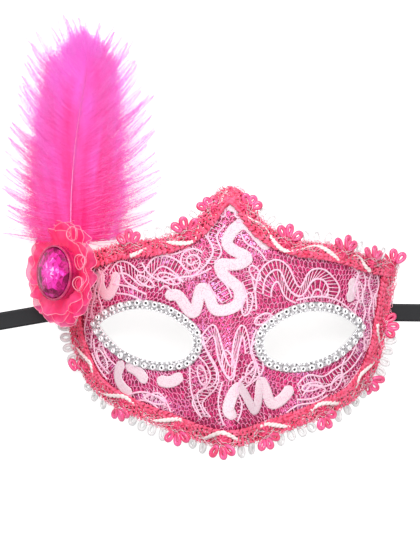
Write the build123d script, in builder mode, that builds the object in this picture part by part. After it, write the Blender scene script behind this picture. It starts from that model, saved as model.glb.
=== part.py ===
"""Venetian masquerade mask, lying on its back on a table. Millimetres.

The origin is on the mask's plane of symmetry, level with the eyes, on the table. +Z comes out
of the mask's face, +Y points to the forehead and +X to the viewer's right.
"""

import os
from math import cos, exp, radians, sin, sqrt, tan

from build123d import *

# ---------------------------------------------------------------- moulded face
face_depth = 48.0  # temple edge to brow, along Z
forehead_fall = 8.0  # how far the peak leans back from the brow
cheek_fall = 4.0  # how far the cheek rim leans back
temple_half_width = 85.8  # at the eye line, inside the shell's edge
temple_flare = 0.16  # growth of that half-width per mm of height on the face
wrap_power = 3.0  # how late the face turns back to the temples
nose_height = 24.0
nose_top = 26.0  # height on the face at which the nose starts
nose_bottom = -46.0
nose_half_width_top = 10.5
nose_half_width_bottom = 15.0
socket_depth = 2.5
socket_place = (43.0, -1.0)
socket_spread = (20.0, 15.0)

# ---------------------------------------------------------------- rim outline, right half
peak_height = 81.0
chin_depth = 59.5
crown_points = [(8.0, 77.0), (15.5, 66.0), (26.0, 56.5), (44.5, 51.5), (62.5, 49.0), (77.0, 44.5)]
temple_top = (95.5, 42.0)
temple_bottom = (88.3, -6.0)
jaw_points = [(83.5, -18.5), (73.0, -33.5), (56.0, -43.3), (34.0, -51.5), (12.0, -58.0)]
rim_reach = 1.5  # the braid stands past the shell's edge by this

# ---------------------------------------------------------------- eye openings
eye_inner_end = (19.2, -5.9)
eye_upper_shoulder = (24.5, 4.4)
eye_lower_shoulder = (25.2, -13.6)
eye_top = (48.0, 13.6)
eye_bottom = (46.5, -13.8)
eye_outer_corner = (71.6, 4.4)
eye_trim_overhang = 0.8  # the trim covers the shell's cut edge by this
eye_trim_width = 5.2

# ---------------------------------------------------------------- layers, measured along Z
glue_gap = 0.05
seat_gap = 0.1  # between a flat-bottomed piece and the curved skin below it
shell_wall = 1.6
cloth_thickness = 0.35
lace_thickness = 0.5
braid_thickness = 1.8
cord_thickness = 1.4
eye_band_thickness = 0.8
cloth_hem = 0.3  # cloth and lace end this far over the table at the temples

cloth_low = shell_wall + glue_gap
lace_low = cloth_low + cloth_thickness + glue_gap
trim_low = lace_low + lace_thickness + seat_gap
cord_low = braid_thickness + seat_gap  # over the trim's own skin

# ---------------------------------------------------------------- rim braid
braid_width = 9.0
flare_height = 1.1  # the braid's outer edge floats this far over the table at the temples
flare_blend = 2.0
braid_split = 34.5  # height on the face where the top and the lower lengths meet
braid_joint = 0.3
corner_overlap = 3.4  # how far the top length runs past the right temple

flower_inset = 2.2  # centre dome, from the rim line inwards
dome_radius = 3.4
dome_height = 1.6
dome_sides = 10
dome_taper = 30.0
petal_length = 8.0
petal_width = 4.8
petal_wall = 1.5
petal_thickness = 1.6
petal_fan = 46.0
petal_count = 3
petal_seat = 1.5  # how far round the rim line a flower's loops are stitched down
petal_table_gap = 2.2  # the loops' tips stay this far over the table
petal_sides = 10
cord_arch_radius = 4.9
cord_width = 1.5
picot_length = 6.6
picot_width = 4.4
picot_wall = 0.9
picot_thickness = 0.9
picot_pitch = 6.0
picot_spared = 2.0  # the room a flower's own loops take, in pitches
picot_seat = 1.0
picot_drop = 0.6  # the picots start this far below the braid's underside
picot_table_gap = 0.6
picot_sides = 8

# places of the flowers, as shares of the way round the rim from the chin, counter-clockwise
top_flowers = [0.294, 0.325, 0.358, 0.419, 0.472, 0.531, 0.565, 0.624]
lower_flowers = [-0.238, -0.175, -0.114, -0.051, -0.004, 0.039, 0.103, 0.165, 0.228]

# ---------------------------------------------------------------- eye trim studs
stud_pitch = 4.7
stud_radius = 1.6
stud_height = 1.5
stud_inset = 1.75  # from the band's outer edge to the row's centre
bead_pitch = 2.9
bead_radius = 0.7
bead_height = 0.9
bead_inset = 0.9  # from the band's inner edge

# ---------------------------------------------------------------- ribbon ties
ribbon_width = 10.0
ribbon_thickness = 0.5
ribbon_lift = 0.05
ribbon_place = 12.8  # height on the face where a tie leaves
ribbon_start = 3.0  # inside the temple edge
notch_side = 1.2
notch_over = 0.4
tail_length = 16.0
tail_drop = 1.1  # from the shell's inner skin to the tail's far side, along Z
loop_radius = 44.0
loop_quarters = 5
loop_gain = 8.0  # the loop closes in by this from its first quarter to its last
twist_length = 30.0
right_flat_run = 53.0
left_flat_run = 83.0
left_slant = 10.5  # degrees, the left tie's slope across the table

# ---------------------------------------------------------------- rosette, gem and feather
rosette_place = (-80.5, 33.0)
rosette_tilt = 49.0
felt_radius = 13.0
felt_thickness = 1.4
felt_lift = 5.2  # room for the quill between felt and lace
ruffle_hole = 2.0
ruffle_collar = 6.0
ruffle_thickness = 2.4
ruffle_radius = 29.5
outer_rise = 6.5
outer_scallops = 9
middle_radius = 22.5
middle_rise = 7.2
middle_scallops = 7
scallop_depth = 0.24  # of the ruffle's radius
curl_places = [(58.0, 25.5), (16.0, 21.5), (-17.0, 20.3)]  # degrees round the gem, distance
curl_radius = 4.6
curl_wall = 0.8
curl_height = 3.2
setting_radius = 15.0
setting_thickness = 2.0
setting_boss = 5.0
gem_lift = 18.2  # from the lace to the gem's back
gem_radius = 14.0
gem_girdle = 1.4
gem_break_radius = 11.6
gem_break_height = 1.9
gem_table_radius = 7.4
gem_crown_height = 4.1
gem_facets = 12
quill_foot_place = (-4.5, -4.0, 2.5)  # on the rosette's seat
feather_rise = 7.0
quill_radius = 1.1
quill_tip_radius = 0.4
quill_length = 128.0
quill_spans = 6
quill_sides = 8
quill_bow = -5.0
quill_shift = 10.0
vane_thickness = 3.0
vane_gap = 0.35
vane_foot = 36.0
vane_top = 127.0
left_vane_outline = [(-10, 146), (-19, 132), (-23.5, 112), (-28.5, 88), (-29.5, 64), (-27.5, 45), (-17, 35)]
right_vane_outline = [(13, 133), (20, 116), (30.5, 98), (33.5, 78), (36.5, 60), (30, 43), (16, 35)]

tall = 120.0  # taller than the mask, for cutting right through


def face_height(x, y):
    """Height of the shell's inner skin over the table."""
    half_width = temple_half_width + temple_flare * y
    depth = face_depth
    depth -= forehead_fall * (max(0.0, y - 15.0) / (peak_height - 15.0)) ** 2
    depth -= cheek_fall * (max(0.0, -15.0 - y) / (chin_depth - 15.0)) ** 2
    wrapped = depth * (1.0 - (abs(x) / half_width) ** wrap_power)
    run = min(1.0, max(0.0, (nose_top - y) / (nose_top - nose_bottom)))
    ramp = run * run * (3.0 - 2.0 * run)
    width = nose_half_width_top + (nose_half_width_bottom - nose_half_width_top) * run
    nose = nose_height * ramp * exp(-((x / width) ** 2))
    across = (abs(x) - socket_place[0]) / socket_spread[0]
    along = (y - socket_place[1]) / socket_spread[1]
    return wrapped + nose - socket_depth * exp(-(across**2) - along**2)


def trim_height(x, y):
    """Height of the skin that the rim trim lies on: the lace, levelling out over the table."""
    over = face_height(x, y) + trim_low - flare_height
    return flare_height + (over + sqrt(over * over + flare_blend**2)) / 2


def surface_normal(height, x, y):
    """Unit normal of a height function, by central differences."""
    step = 0.25
    dx = (height(x + step, y) - height(x - step, y)) / (2 * step)
    dy = (height(x, y + step) - height(x, y - step)) / (2 * step)
    return Vector(-dx, -dy, 1).normalized()


def lifted(height, x, y, lift):
    """The point straight above (x, y) on a raised height function."""
    return Vector(x, y, height(x, y) + lift)


def skin(height):
    """A smooth face through the points of a height function, finest at the temples."""
    columns, rows = 48, 27
    reach_x, low_y, high_y = 103.0, -74.0, 94.0
    steps = [2 * i / columns - 1 for i in range(columns + 1)]
    xs = [reach_x * u * (1.35 - 0.35 * u * u) for u in steps]
    ys = [low_y + (high_y - low_y) * j / rows for j in range(rows + 1)]
    points = [[lifted(height, x, y, 0) for y in ys] for x in xs]
    return Face.make_surface_from_array_of_points(points, tol=0.02)


def draped(surface, plan, lift, thickness):
    """Adds a plan outline, laid as a layer on the raised skin."""
    with BuildPart(mode=Mode.PRIVATE) as column:
        extrude(plan, amount=tall, both=True)
    sheet = surface.moved(Location((0, 0, lift))).intersect(column.part)
    extrude(sheet.faces(), amount=thickness, dir=(0, 0, 1))


def cut_below(level):
    """Takes away everything under a level over the table."""
    with BuildSketch(Plane.XY.offset(level)) as table:
        Rectangle(4 * tall, 4 * tall)
    extrude(table.sketch, amount=-tall, mode=Mode.SUBTRACT)


def resting(height, place, radius, lift, along):
    """A plane on the raised skin, just clear of it for a flat piece of this radius."""
    normal = surface_normal(height, place.X, place.Y)
    direction = Vector(along.X, along.Y, 0)
    direction = (direction - normal * direction.dot(normal)).normalized()
    middle = lifted(height, place.X, place.Y, lift)
    plane = Plane(origin=middle, x_dir=direction, z_dir=normal)
    rise = 0.0
    for eighth in range(8):
        turn = radians(45.0 * eighth)
        edge = plane.from_local_coords((radius * cos(turn), radius * sin(turn), 0))
        rise = max(rise, (lifted(height, edge.X, edge.Y, lift) - middle).dot(normal))
    return plane.offset(rise + seat_gap)


# ---------------------------------------------------------------- plan outlines
def mirrored(points):
    """The points' mirror images across the mask's middle, in the reverse order."""
    return [(-x, y) for x, y in reversed(points)]


with BuildLine() as crown_line:
    Spline(*mirrored([*crown_points, temple_top]), (0, peak_height), *crown_points, temple_top)

with BuildLine() as jaw_line:
    Spline(temple_bottom, *jaw_points, (0, -chin_depth), *mirrored([temple_bottom, *jaw_points]))


def moved_out(line, point, amount):
    """The point moved square to the outline, outwards."""
    edge = line.edges()[0]
    tangent = edge.tangent_at(edge.param_at_point(Vector(*point)))
    return (point[0] - tangent.Y * amount, point[1] + tangent.X * amount)


def rim_face(amount):
    """The face inside the rim outline, moved outwards by the amount."""
    crown = [moved_out(crown_line, point, amount) for point in crown_points]
    jaw = [moved_out(jaw_line, point, amount) for point in jaw_points]
    top = (temple_top[0] + amount, temple_top[1] + amount)
    bottom = (temple_bottom[0] + amount, temple_bottom[1])
    with BuildSketch(mode=Mode.PRIVATE) as inside:
        with BuildLine():
            Spline(*mirrored([*crown, top]), (0, peak_height + amount), *crown, top)
            Line(top, bottom)
            Spline(bottom, *jaw, (0, -chin_depth - amount), *mirrored([bottom, *jaw]))
            Line(*mirrored([top, bottom]))
        make_face()
    return inside.sketch


with BuildSketch() as eye_outline:
    with BuildLine():
        ThreePointArc(eye_upper_shoulder, eye_top, eye_outer_corner)
        ThreePointArc(eye_outer_corner, eye_bottom, eye_lower_shoulder)
        ThreePointArc(eye_lower_shoulder, eye_inner_end, eye_upper_shoulder)
    make_face()


def eye_face(amount):
    """Both eye outlines, moved outwards by the amount."""
    with BuildSketch(mode=Mode.PRIVATE) as openings:
        add(eye_outline.sketch)
        if amount:
            offset(amount=amount, mode=Mode.REPLACE)
        mirror(about=Plane.YZ)
    return openings.sketch


rim_samples = 720


def rim_table():
    """Points round the rim, counter-clockwise from the chin, with the length up to each."""
    wire = rim_face(0).wire()
    points = [wire.position_at(i / rim_samples) for i in range(rim_samples)]
    area = sum(p.X * q.Y - q.X * p.Y for p, q in zip(points, points[1:] + points[:1]))
    if area < 0:
        points.reverse()
    first = min(range(rim_samples), key=lambda i: points[i].Y)
    return points[first:] + points[:first]


rim_points = rim_table()


def rim_place(share, inset):
    """The point a share of the way round the rim and this far inside it, and its outward way."""
    place = (share % 1.0) * rim_samples
    index = int(place)
    before = rim_points[index - 1]
    here = rim_points[index]
    after = rim_points[(index + 1) % rim_samples]
    beyond = rim_points[(index + 2) % rim_samples]
    point = here + (after - here) * (place - index)
    along = (beyond - before).normalized()
    outward = Vector(along.Y, -along.X)
    return point - outward * inset, outward


def gaps_between(shares):
    """Each pair of neighbouring flowers."""
    return list(zip(shares, shares[1:]))


# ---------------------------------------------------------------- moulded shell and its skins
face_skin = skin(face_height)
trim_skin = skin(trim_height)
tie_half_width = temple_half_width + temple_flare * ribbon_place
ribbon_top = ribbon_lift + ribbon_thickness


def face_layer(low, thickness, hem):
    """A layer over the whole face, with its eye openings and the reliefs for the ties."""
    with BuildSketch() as plan:
        add(rim_face(-rim_reach))
        add(eye_face(eye_trim_overhang), mode=Mode.SUBTRACT)
    draped(face_skin, plan.sketch, low, thickness)
    cut_below(hem)
    with BuildSketch() as reliefs:
        with Locations((tie_half_width, ribbon_place), (-tie_half_width, ribbon_place)):
            Rectangle(20, ribbon_width + 2 * notch_side)
    extrude(reliefs.sketch, amount=ribbon_top + notch_over, mode=Mode.SUBTRACT)


with BuildPart() as mask_shell:
    face_layer(0, shell_wall, 0)

with BuildPart() as face_cloth:
    face_layer(cloth_low, cloth_thickness, cloth_hem)

with BuildPart() as lace_overlay:
    face_layer(lace_low, lace_thickness, cloth_hem)


# ---------------------------------------------------------------- rim braid
def rim_band(top):
    """Plan of one braid length: the rim band on its side of the joint."""
    half = 150.0
    edge = braid_split + braid_joint / 2 if top else braid_split - braid_joint / 2
    middle = edge + half / 2 if top else edge - half / 2
    with BuildSketch(mode=Mode.PRIVATE) as band:
        add(rim_face(0))
        add(rim_face(-braid_width), mode=Mode.SUBTRACT)
        with Locations((0, middle)):
            Rectangle(2 * half, half, mode=Mode.INTERSECT)
        if top:
            with Locations((temple_top[0] + corner_overlap, edge)):
                Rectangle(2 * corner_overlap, temple_top[1] - edge, align=(Align.MAX, Align.MIN))
    return band.sketch


with BuildPart() as top_braid:
    draped(trim_skin, rim_band(True), 0, braid_thickness)

with BuildPart() as lower_braid:
    draped(trim_skin, rim_band(False), 0, braid_thickness)


def domes(shares):
    """The knitted centres of the flowers."""
    for share in shares:
        place, outward = rim_place(share, flower_inset)
        with BuildSketch(resting(trim_height, place, dome_radius, braid_thickness, outward)) as plan:
            RegularPolygon(dome_radius, dome_sides)
        extrude(plan.sketch, amount=dome_height, taper=dome_taper)


def wavy_cord(shares):
    """The white satin cord: it arches round each flower's inner side and swings out between."""
    deep = flower_inset + cord_arch_radius + cord_width / 2
    with BuildSketch() as plan:
        for share, following in gaps_between(shares):
            gap = following - share
            points = []
            for step, inset in [(0, deep), (0.28, deep / 2), (0.5, cord_width), (0.72, deep / 2), (1, deep)]:
                points.append(rim_place(share + step * gap, inset)[0])
            with BuildLine():
                Spline(*points)
            trace(line_width=cord_width)
    draped(trim_skin, plan.sketch, cord_low, cord_thickness)


def loop_plane(place, outward, seat, lift, reach, table_gap):
    """The plane of cord loops at the rim: along the trim, or held level along it near the table."""
    plane = resting(trim_height, place, seat, lift, outward)
    fall = reach * sqrt(plane.x_dir.Z**2 + plane.y_dir.Z**2)
    if plane.origin.Z - fall > table_gap:
        return plane
    slope = min(-plane.x_dir.Z, (plane.origin.Z - table_gap) / reach)
    level = Vector(outward.X, outward.Y, 0).normalized()
    ahead = level * sqrt(1 - slope**2) - Vector(0, 0, slope)
    return Plane(origin=plane.origin, x_dir=ahead, z_dir=ahead.cross(Vector(-level.Y, level.X, 0)))


def cord_loop(length, width, wall, sides):
    """A flat loop of cord, with its outer and inner edge as ovals of straight stretches."""
    for shrink, mode in ((0, Mode.ADD), (wall, Mode.SUBTRACT)):
        turns = [radians(360.0 * (side + 0.5) / sides) for side in range(sides)]
        half_length, half_width = length / 2 - shrink, width / 2 - shrink
        Polygon(*[(half_length * cos(turn), half_width * sin(turn)) for turn in turns], align=None, mode=mode)


def petals(shares):
    """Three cord loops fanned round the outer side of each flower."""
    swing = dome_radius + 0.2 + petal_length / 2
    reach = swing - flower_inset + petal_length / 2
    for share in shares:
        place, outward = rim_place(share, 0)
        plane = loop_plane(place, outward, petal_seat, braid_thickness, reach, petal_table_gap)
        with BuildSketch(plane) as plan:
            for turn in range(petal_count):
                angle = petal_fan * (turn - (petal_count - 1) / 2)
                middle = (swing * cos(radians(angle)) - flower_inset, swing * sin(radians(angle)))
                with Locations(Location(middle, angle)):
                    cord_loop(petal_length, petal_width, petal_wall, petal_sides)
        extrude(plan.sketch, amount=petal_thickness)


def picots(shares):
    """Clear white loops along the rim between the flowers."""
    rim_length = rim_face(0).wire().length
    for share, following in gaps_between(shares):
        count = int((following - share) * rim_length / picot_pitch - picot_spared)
        for number in range(count):
            step = (number + 1) / (count + 1)
            place, outward = rim_place(share + (following - share) * step, -seat_gap)
            plane = loop_plane(place, outward, picot_seat, -picot_drop, picot_length, picot_table_gap)
            with BuildSketch(plane) as plan:
                with Locations((picot_length / 2, 0)):
                    cord_loop(picot_length, picot_width, picot_wall, picot_sides)
            extrude(plan.sketch, amount=picot_thickness)


with BuildPart() as top_flower_centres:
    domes(top_flowers)

with BuildPart() as lower_flower_centres:
    domes(lower_flowers)

with BuildPart() as top_wavy_cord:
    wavy_cord(top_flowers[1:])

with BuildPart() as lower_wavy_cord:
    wavy_cord(lower_flowers)

with BuildPart() as top_flower_petals:
    petals(top_flowers)

with BuildPart() as lower_flower_petals:
    petals(lower_flowers)

with BuildPart() as top_picots:
    picots(top_flowers)

with BuildPart() as lower_picots:
    picots(lower_flowers)

# ---------------------------------------------------------------- eye trims
stud_seat = trim_low + eye_band_thickness


def one_eye(side, amount):
    """One eye's outline moved outwards, on the given side of the nose."""
    with BuildSketch(mode=Mode.PRIVATE) as opening:
        add(eye_outline.sketch)
        if amount:
            offset(amount=amount, mode=Mode.REPLACE)
        if side < 0:
            mirror(about=Plane.YZ, mode=Mode.REPLACE)
    return opening.sketch


def eye_band(side):
    """The flat band of an eye trim."""
    with BuildSketch() as plan:
        add(one_eye(side, eye_trim_width))
        add(one_eye(side, 0), mode=Mode.SUBTRACT)
    draped(face_skin, plan.sketch, trim_low, eye_band_thickness)


def stud_row(side, out, pitch, radius, height, corners, taper):
    """A row of small tapered studs on an eye trim, square to the face."""
    wire = one_eye(side, out).wire()
    count = round(wire.length / pitch)
    for number in range(count):
        place = wire.position_at(number / count)
        along = wire.tangent_at(number / count)
        with BuildSketch(resting(face_height, place, radius, stud_seat, along)) as plan:
            RegularPolygon(radius, corners)
        extrude(plan.sketch, amount=height, taper=taper)


with BuildPart() as left_eye_band:
    eye_band(-1)

with BuildPart() as right_eye_band:
    eye_band(1)

with BuildPart() as left_eye_studs:
    stud_row(-1, eye_trim_width - stud_inset, stud_pitch, stud_radius, stud_height, 8, 30)

with BuildPart() as right_eye_studs:
    stud_row(1, eye_trim_width - stud_inset, stud_pitch, stud_radius, stud_height, 8, 30)

with BuildPart() as left_eye_beads:
    stud_row(-1, bead_inset, bead_pitch, bead_radius, bead_height, 6, 20)

with BuildPart() as right_eye_beads:
    stud_row(1, bead_inset, bead_pitch, bead_radius, bead_height, 6, 20)

# ---------------------------------------------------------------- ribbon ties
tie_start = tie_half_width - ribbon_start


def flat_ribbon(start, heading, run):
    """The straight stretch of a tie that lies flat on the table, and its end."""
    ahead = Vector(cos(radians(heading)), sin(radians(heading)))
    end = Vector(*start) + ahead * run
    with BuildSketch(Plane.XY.offset(ribbon_lift)) as plan:
        with BuildLine():
            Line(start, tuple(end)[:2])
        trace(line_width=ribbon_width)
    extrude(plan.sketch, amount=ribbon_thickness)
    return tuple(end)[:2]


def twisted_ribbon(start, heading):
    """The stretch in which a tie turns up on its edge, and its end."""
    turns = 4
    ahead = Vector(cos(radians(heading)), sin(radians(heading)))
    sections = []
    for step in range(turns + 1):
        roll = radians(90.0 * step / turns)
        height = ribbon_lift + ribbon_width / 2 * sin(roll) + ribbon_thickness / 2 * cos(roll)
        middle = Vector(*start) + ahead * (twist_length * step / turns) + Vector(0, 0, height)
        across = Vector(-ahead.Y, ahead.X) * cos(roll) + Vector(0, 0, 1) * sin(roll)
        with BuildSketch(Plane(origin=middle, x_dir=across, z_dir=ahead)) as plan:
            Rectangle(ribbon_width, ribbon_thickness)
        sections.append(plan.sketch)
    loft(sections)
    return tuple(Vector(*start) + ahead * twist_length)[:2]


def ribbon_loop(start, heading, turn):
    """A tie's closing coil, standing on its edge. Turn is -1 to the right, 1 to the left."""
    with BuildSketch(Plane.XY.offset(ribbon_lift)) as plan:
        with BuildLine():
            place = Vector(*start)
            for step in range(loop_quarters):
                radius = loop_radius - loop_gain * step / (loop_quarters - 1)
                way = Vector(cos(radians(heading)), sin(radians(heading)))
                arc = JernArc(start=place, tangent=way, radius=radius, arc_size=90.0 * turn)
                place = arc @ 1
                heading += 90.0 * turn
        trace(line_width=ribbon_thickness)
    extrude(plan.sketch, amount=ribbon_width)


def ribbon_tail(side):
    """The end of a tie, glued up the inside of the temple."""
    with BuildSketch() as plan:
        with Locations((side * (tie_half_width - 0.4), ribbon_place)):
            align = (Align.MAX if side > 0 else Align.MIN, Align.CENTER)
            Rectangle(tail_length, ribbon_width, align=align)
    draped(face_skin, plan.sketch, -tail_drop, tail_drop - 2 * seat_gap)
    cut_below(ribbon_top + seat_gap)


left_heading = 180.0 + left_slant
left_start = (-tie_start, ribbon_place + ribbon_start * tan(radians(left_slant)))

with BuildPart() as right_ribbon:
    right_flat_end = flat_ribbon((tie_start, ribbon_place), 0.0, right_flat_run)
    right_twist_end = twisted_ribbon(right_flat_end, 0.0)

with BuildPart() as left_ribbon:
    left_flat_end = flat_ribbon(left_start, left_heading, left_flat_run)
    left_twist_end = twisted_ribbon(left_flat_end, left_heading)

with BuildPart() as right_ribbon_loop:
    ribbon_loop(right_twist_end, 0.0, -1)

with BuildPart() as left_ribbon_loop:
    ribbon_loop(left_twist_end, left_heading, 1)

with BuildPart() as right_ribbon_tail:
    ribbon_tail(1)

with BuildPart() as left_ribbon_tail:
    ribbon_tail(-1)

# ---------------------------------------------------------------- rosette
rosette_lean = radians(rosette_tilt)
rosette_seat = Plane(
    origin=lifted(face_height, *rosette_place, lace_low + lace_thickness),
    x_dir=(cos(rosette_lean), 0, sin(rosette_lean)),
    z_dir=(-sin(rosette_lean), 0, cos(rosette_lean)),
)
ruffle_low = felt_lift + felt_thickness + seat_gap
middle_low = ruffle_low + ruffle_thickness + 2 * seat_gap
curl_low = middle_low + middle_rise + ruffle_thickness + seat_gap


def scalloped(radius, count):
    """A disc with round scallops along its edge."""
    ring = radius * (1 - scallop_depth)
    Circle(ring)
    with PolarLocations(ring, count):
        Circle(radius - ring)


def ruffle(low, radius, rise, count):
    """A gathered collar: a shallow cone with a scalloped edge."""
    with BuildSketch(Plane(rosette_seat.origin, rosette_seat.x_dir, rosette_seat.y_dir * -1)) as plan:
        with BuildLine():
            Polyline(
                (ruffle_hole, low),
                (ruffle_collar, low),
                (radius + 1, low + rise),
                (radius + 1, low + rise + ruffle_thickness),
                (ruffle_collar, low + ruffle_thickness),
                (ruffle_hole, low + ruffle_thickness),
                close=True,
            )
        make_face()
    revolve(plan.sketch, axis=Axis(rosette_seat.origin, rosette_seat.z_dir))
    with BuildSketch(rosette_seat) as plan:
        scalloped(radius, count)
        Circle(ruffle_hole, mode=Mode.SUBTRACT)
    extrude(plan.sketch, amount=2 * radius, mode=Mode.INTERSECT)


with BuildPart() as rosette_felt:
    with BuildSketch(rosette_seat.offset(felt_lift)):
        Circle(felt_radius)
    extrude(amount=felt_thickness)

with BuildPart() as rosette_outer_ruffle:
    ruffle(ruffle_low, ruffle_radius, outer_rise, outer_scallops)

with BuildPart() as rosette_middle_ruffle:
    ruffle(middle_low, middle_radius, middle_rise, middle_scallops)

with BuildPart() as rosette_curls:
    with BuildSketch(rosette_seat.offset(curl_low)):
        for angle, ring in curl_places:
            with Locations((ring * cos(radians(angle)), ring * sin(radians(angle)))):
                Circle(curl_radius)
                Circle(curl_radius - curl_wall, mode=Mode.SUBTRACT)
    extrude(amount=curl_height)

# ---------------------------------------------------------------- gem
setting_foot = middle_low + ruffle_thickness + seat_gap
gem_low = gem_lift + glue_gap

with BuildPart() as gem_setting:
    with BuildSketch(rosette_seat.offset(setting_foot)):
        Circle(setting_boss)
    extrude(amount=gem_lift - setting_foot)
    with BuildSketch(rosette_seat.offset(gem_lift - setting_thickness)):
        Circle(setting_radius)
    extrude(amount=setting_thickness)
    with BuildSketch(rosette_seat.offset(gem_lift)):
        Circle(setting_radius)
        Circle(gem_radius + seat_gap, mode=Mode.SUBTRACT)
    extrude(amount=gem_girdle)

with BuildPart() as gem:
    with BuildSketch(rosette_seat.offset(gem_low)):
        RegularPolygon(gem_radius, gem_facets)
    extrude(amount=gem_girdle)
    with BuildSketch(rosette_seat.offset(gem_low + gem_girdle)):
        RegularPolygon(gem_radius, gem_facets)
    with BuildSketch(rosette_seat.offset(gem_low + gem_girdle + gem_break_height)):
        RegularPolygon(gem_break_radius, gem_facets)
    loft(ruled=True)
    with BuildSketch(rosette_seat.offset(gem_low + gem_girdle + gem_break_height)):
        RegularPolygon(gem_break_radius, gem_facets)
    with BuildSketch(rosette_seat.offset(gem_low + gem_girdle + gem_crown_height)):
        RegularPolygon(gem_table_radius, gem_facets)
    loft(ruled=True)

# ---------------------------------------------------------------- feather
feather_plane = Plane(
    origin=rosette_seat.from_local_coords(quill_foot_place),
    x_dir=(1, 0, 0),
    z_dir=(0, -sin(radians(feather_rise)), cos(radians(feather_rise))),
)


def quill_at(along):
    """Sideways place of the quill's centre at a distance from its foot."""
    share = along / quill_length
    return quill_shift * share + 4 * quill_bow * share * (1 - share)


def quill_arc(low, high, aside):
    """An arc along the quill, moved aside."""
    middle = (low + high) / 2
    points = [(quill_at(along) + aside, along) for along in (low, middle, high)]
    return ThreePointArc(*points)


with BuildPart() as feather_quill:
    with BuildLine(feather_plane):
        quill_line = quill_arc(0, quill_length, 0)
    for step in range(quill_spans + 1):
        share = step / quill_spans
        with BuildSketch(Plane(origin=quill_line @ share, z_dir=quill_line % share)):
            RegularPolygon(quill_radius + (quill_tip_radius - quill_radius) * share, quill_sides)
    loft(ruled=True)


def vane(side, outline):
    """The barbs on one side of the quill, as one thin closed body."""
    with BuildSketch(feather_plane.offset(-vane_thickness / 2)) as plan:
        with BuildLine():
            spine = quill_arc(vane_foot, vane_top, side * (quill_radius + vane_gap))
            Spline(spine @ 1, *outline, spine @ 0)
        make_face()
    extrude(plan.sketch, amount=vane_thickness)


with BuildPart() as feather_left_vane:
    vane(-1, left_vane_outline)

with BuildPart() as feather_right_vane:
    vane(1, right_vane_outline)

# ---------------------------------------------------------------- files
pieces = {
    "mask_shell": mask_shell,
    "face_cloth": face_cloth,
    "lace_overlay": lace_overlay,
    "top_braid": top_braid,
    "lower_braid": lower_braid,
    "top_wavy_cord": top_wavy_cord,
    "lower_wavy_cord": lower_wavy_cord,
    "top_flower_centres": top_flower_centres,
    "lower_flower_centres": lower_flower_centres,
    "top_flower_petals": top_flower_petals,
    "lower_flower_petals": lower_flower_petals,
    "top_picots": top_picots,
    "lower_picots": lower_picots,
    "left_eye_band": left_eye_band,
    "right_eye_band": right_eye_band,
    "left_eye_studs": left_eye_studs,
    "right_eye_studs": right_eye_studs,
    "left_eye_beads": left_eye_beads,
    "right_eye_beads": right_eye_beads,
    "left_ribbon": left_ribbon,
    "right_ribbon": right_ribbon,
    "left_ribbon_loop": left_ribbon_loop,
    "right_ribbon_loop": right_ribbon_loop,
    "left_ribbon_tail": left_ribbon_tail,
    "right_ribbon_tail": right_ribbon_tail,
    "rosette_felt": rosette_felt,
    "rosette_outer_ruffle": rosette_outer_ruffle,
    "rosette_middle_ruffle": rosette_middle_ruffle,
    "rosette_curls": rosette_curls,
    "gem_setting": gem_setting,
    "gem": gem,
    "feather_quill": feather_quill,
    "feather_left_vane": feather_left_vane,
    "feather_right_vane": feather_right_vane,
}

os.makedirs("parts", exist_ok=True)
for name, piece in pieces.items():
    piece.part.label = name
    export_step(piece.part, f"parts/{name}.step")
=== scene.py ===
"""Venetian masquerade mask, lying on its back on a pale table.

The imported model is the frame. Pieces are worked out in millimetres as arrays and put into meshes in
metres. +Z comes out of the mask's face, +Y points to the forehead, +X to the viewer's right.
"""

import logging
import math
from collections.abc import Sequence
from dataclasses import dataclass, field
from enum import Enum

import bmesh
import bpy
import numpy as np
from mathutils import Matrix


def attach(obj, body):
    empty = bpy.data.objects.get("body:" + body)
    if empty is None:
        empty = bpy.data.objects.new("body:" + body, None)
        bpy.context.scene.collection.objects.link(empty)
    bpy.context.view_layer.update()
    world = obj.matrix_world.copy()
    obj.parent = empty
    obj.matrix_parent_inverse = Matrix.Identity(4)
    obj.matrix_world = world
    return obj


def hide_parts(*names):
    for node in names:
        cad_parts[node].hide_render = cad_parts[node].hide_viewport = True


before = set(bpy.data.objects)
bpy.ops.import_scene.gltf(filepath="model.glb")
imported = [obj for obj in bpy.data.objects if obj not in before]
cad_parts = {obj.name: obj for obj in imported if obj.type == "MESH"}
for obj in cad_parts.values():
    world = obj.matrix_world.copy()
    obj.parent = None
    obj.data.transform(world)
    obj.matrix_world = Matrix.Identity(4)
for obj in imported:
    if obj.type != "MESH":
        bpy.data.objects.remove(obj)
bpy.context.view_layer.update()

log = logging.getLogger("mask")
UNIT = 0.001  # one millimetre in metres
MERGE = 0.000001  # points nearer than this are one
BAKE_MAP = "OFBake"
RAYS = ("Camera", "Glossy", "Transmission")
Array = np.ndarray
Colour = tuple[float, float, float]


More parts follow.
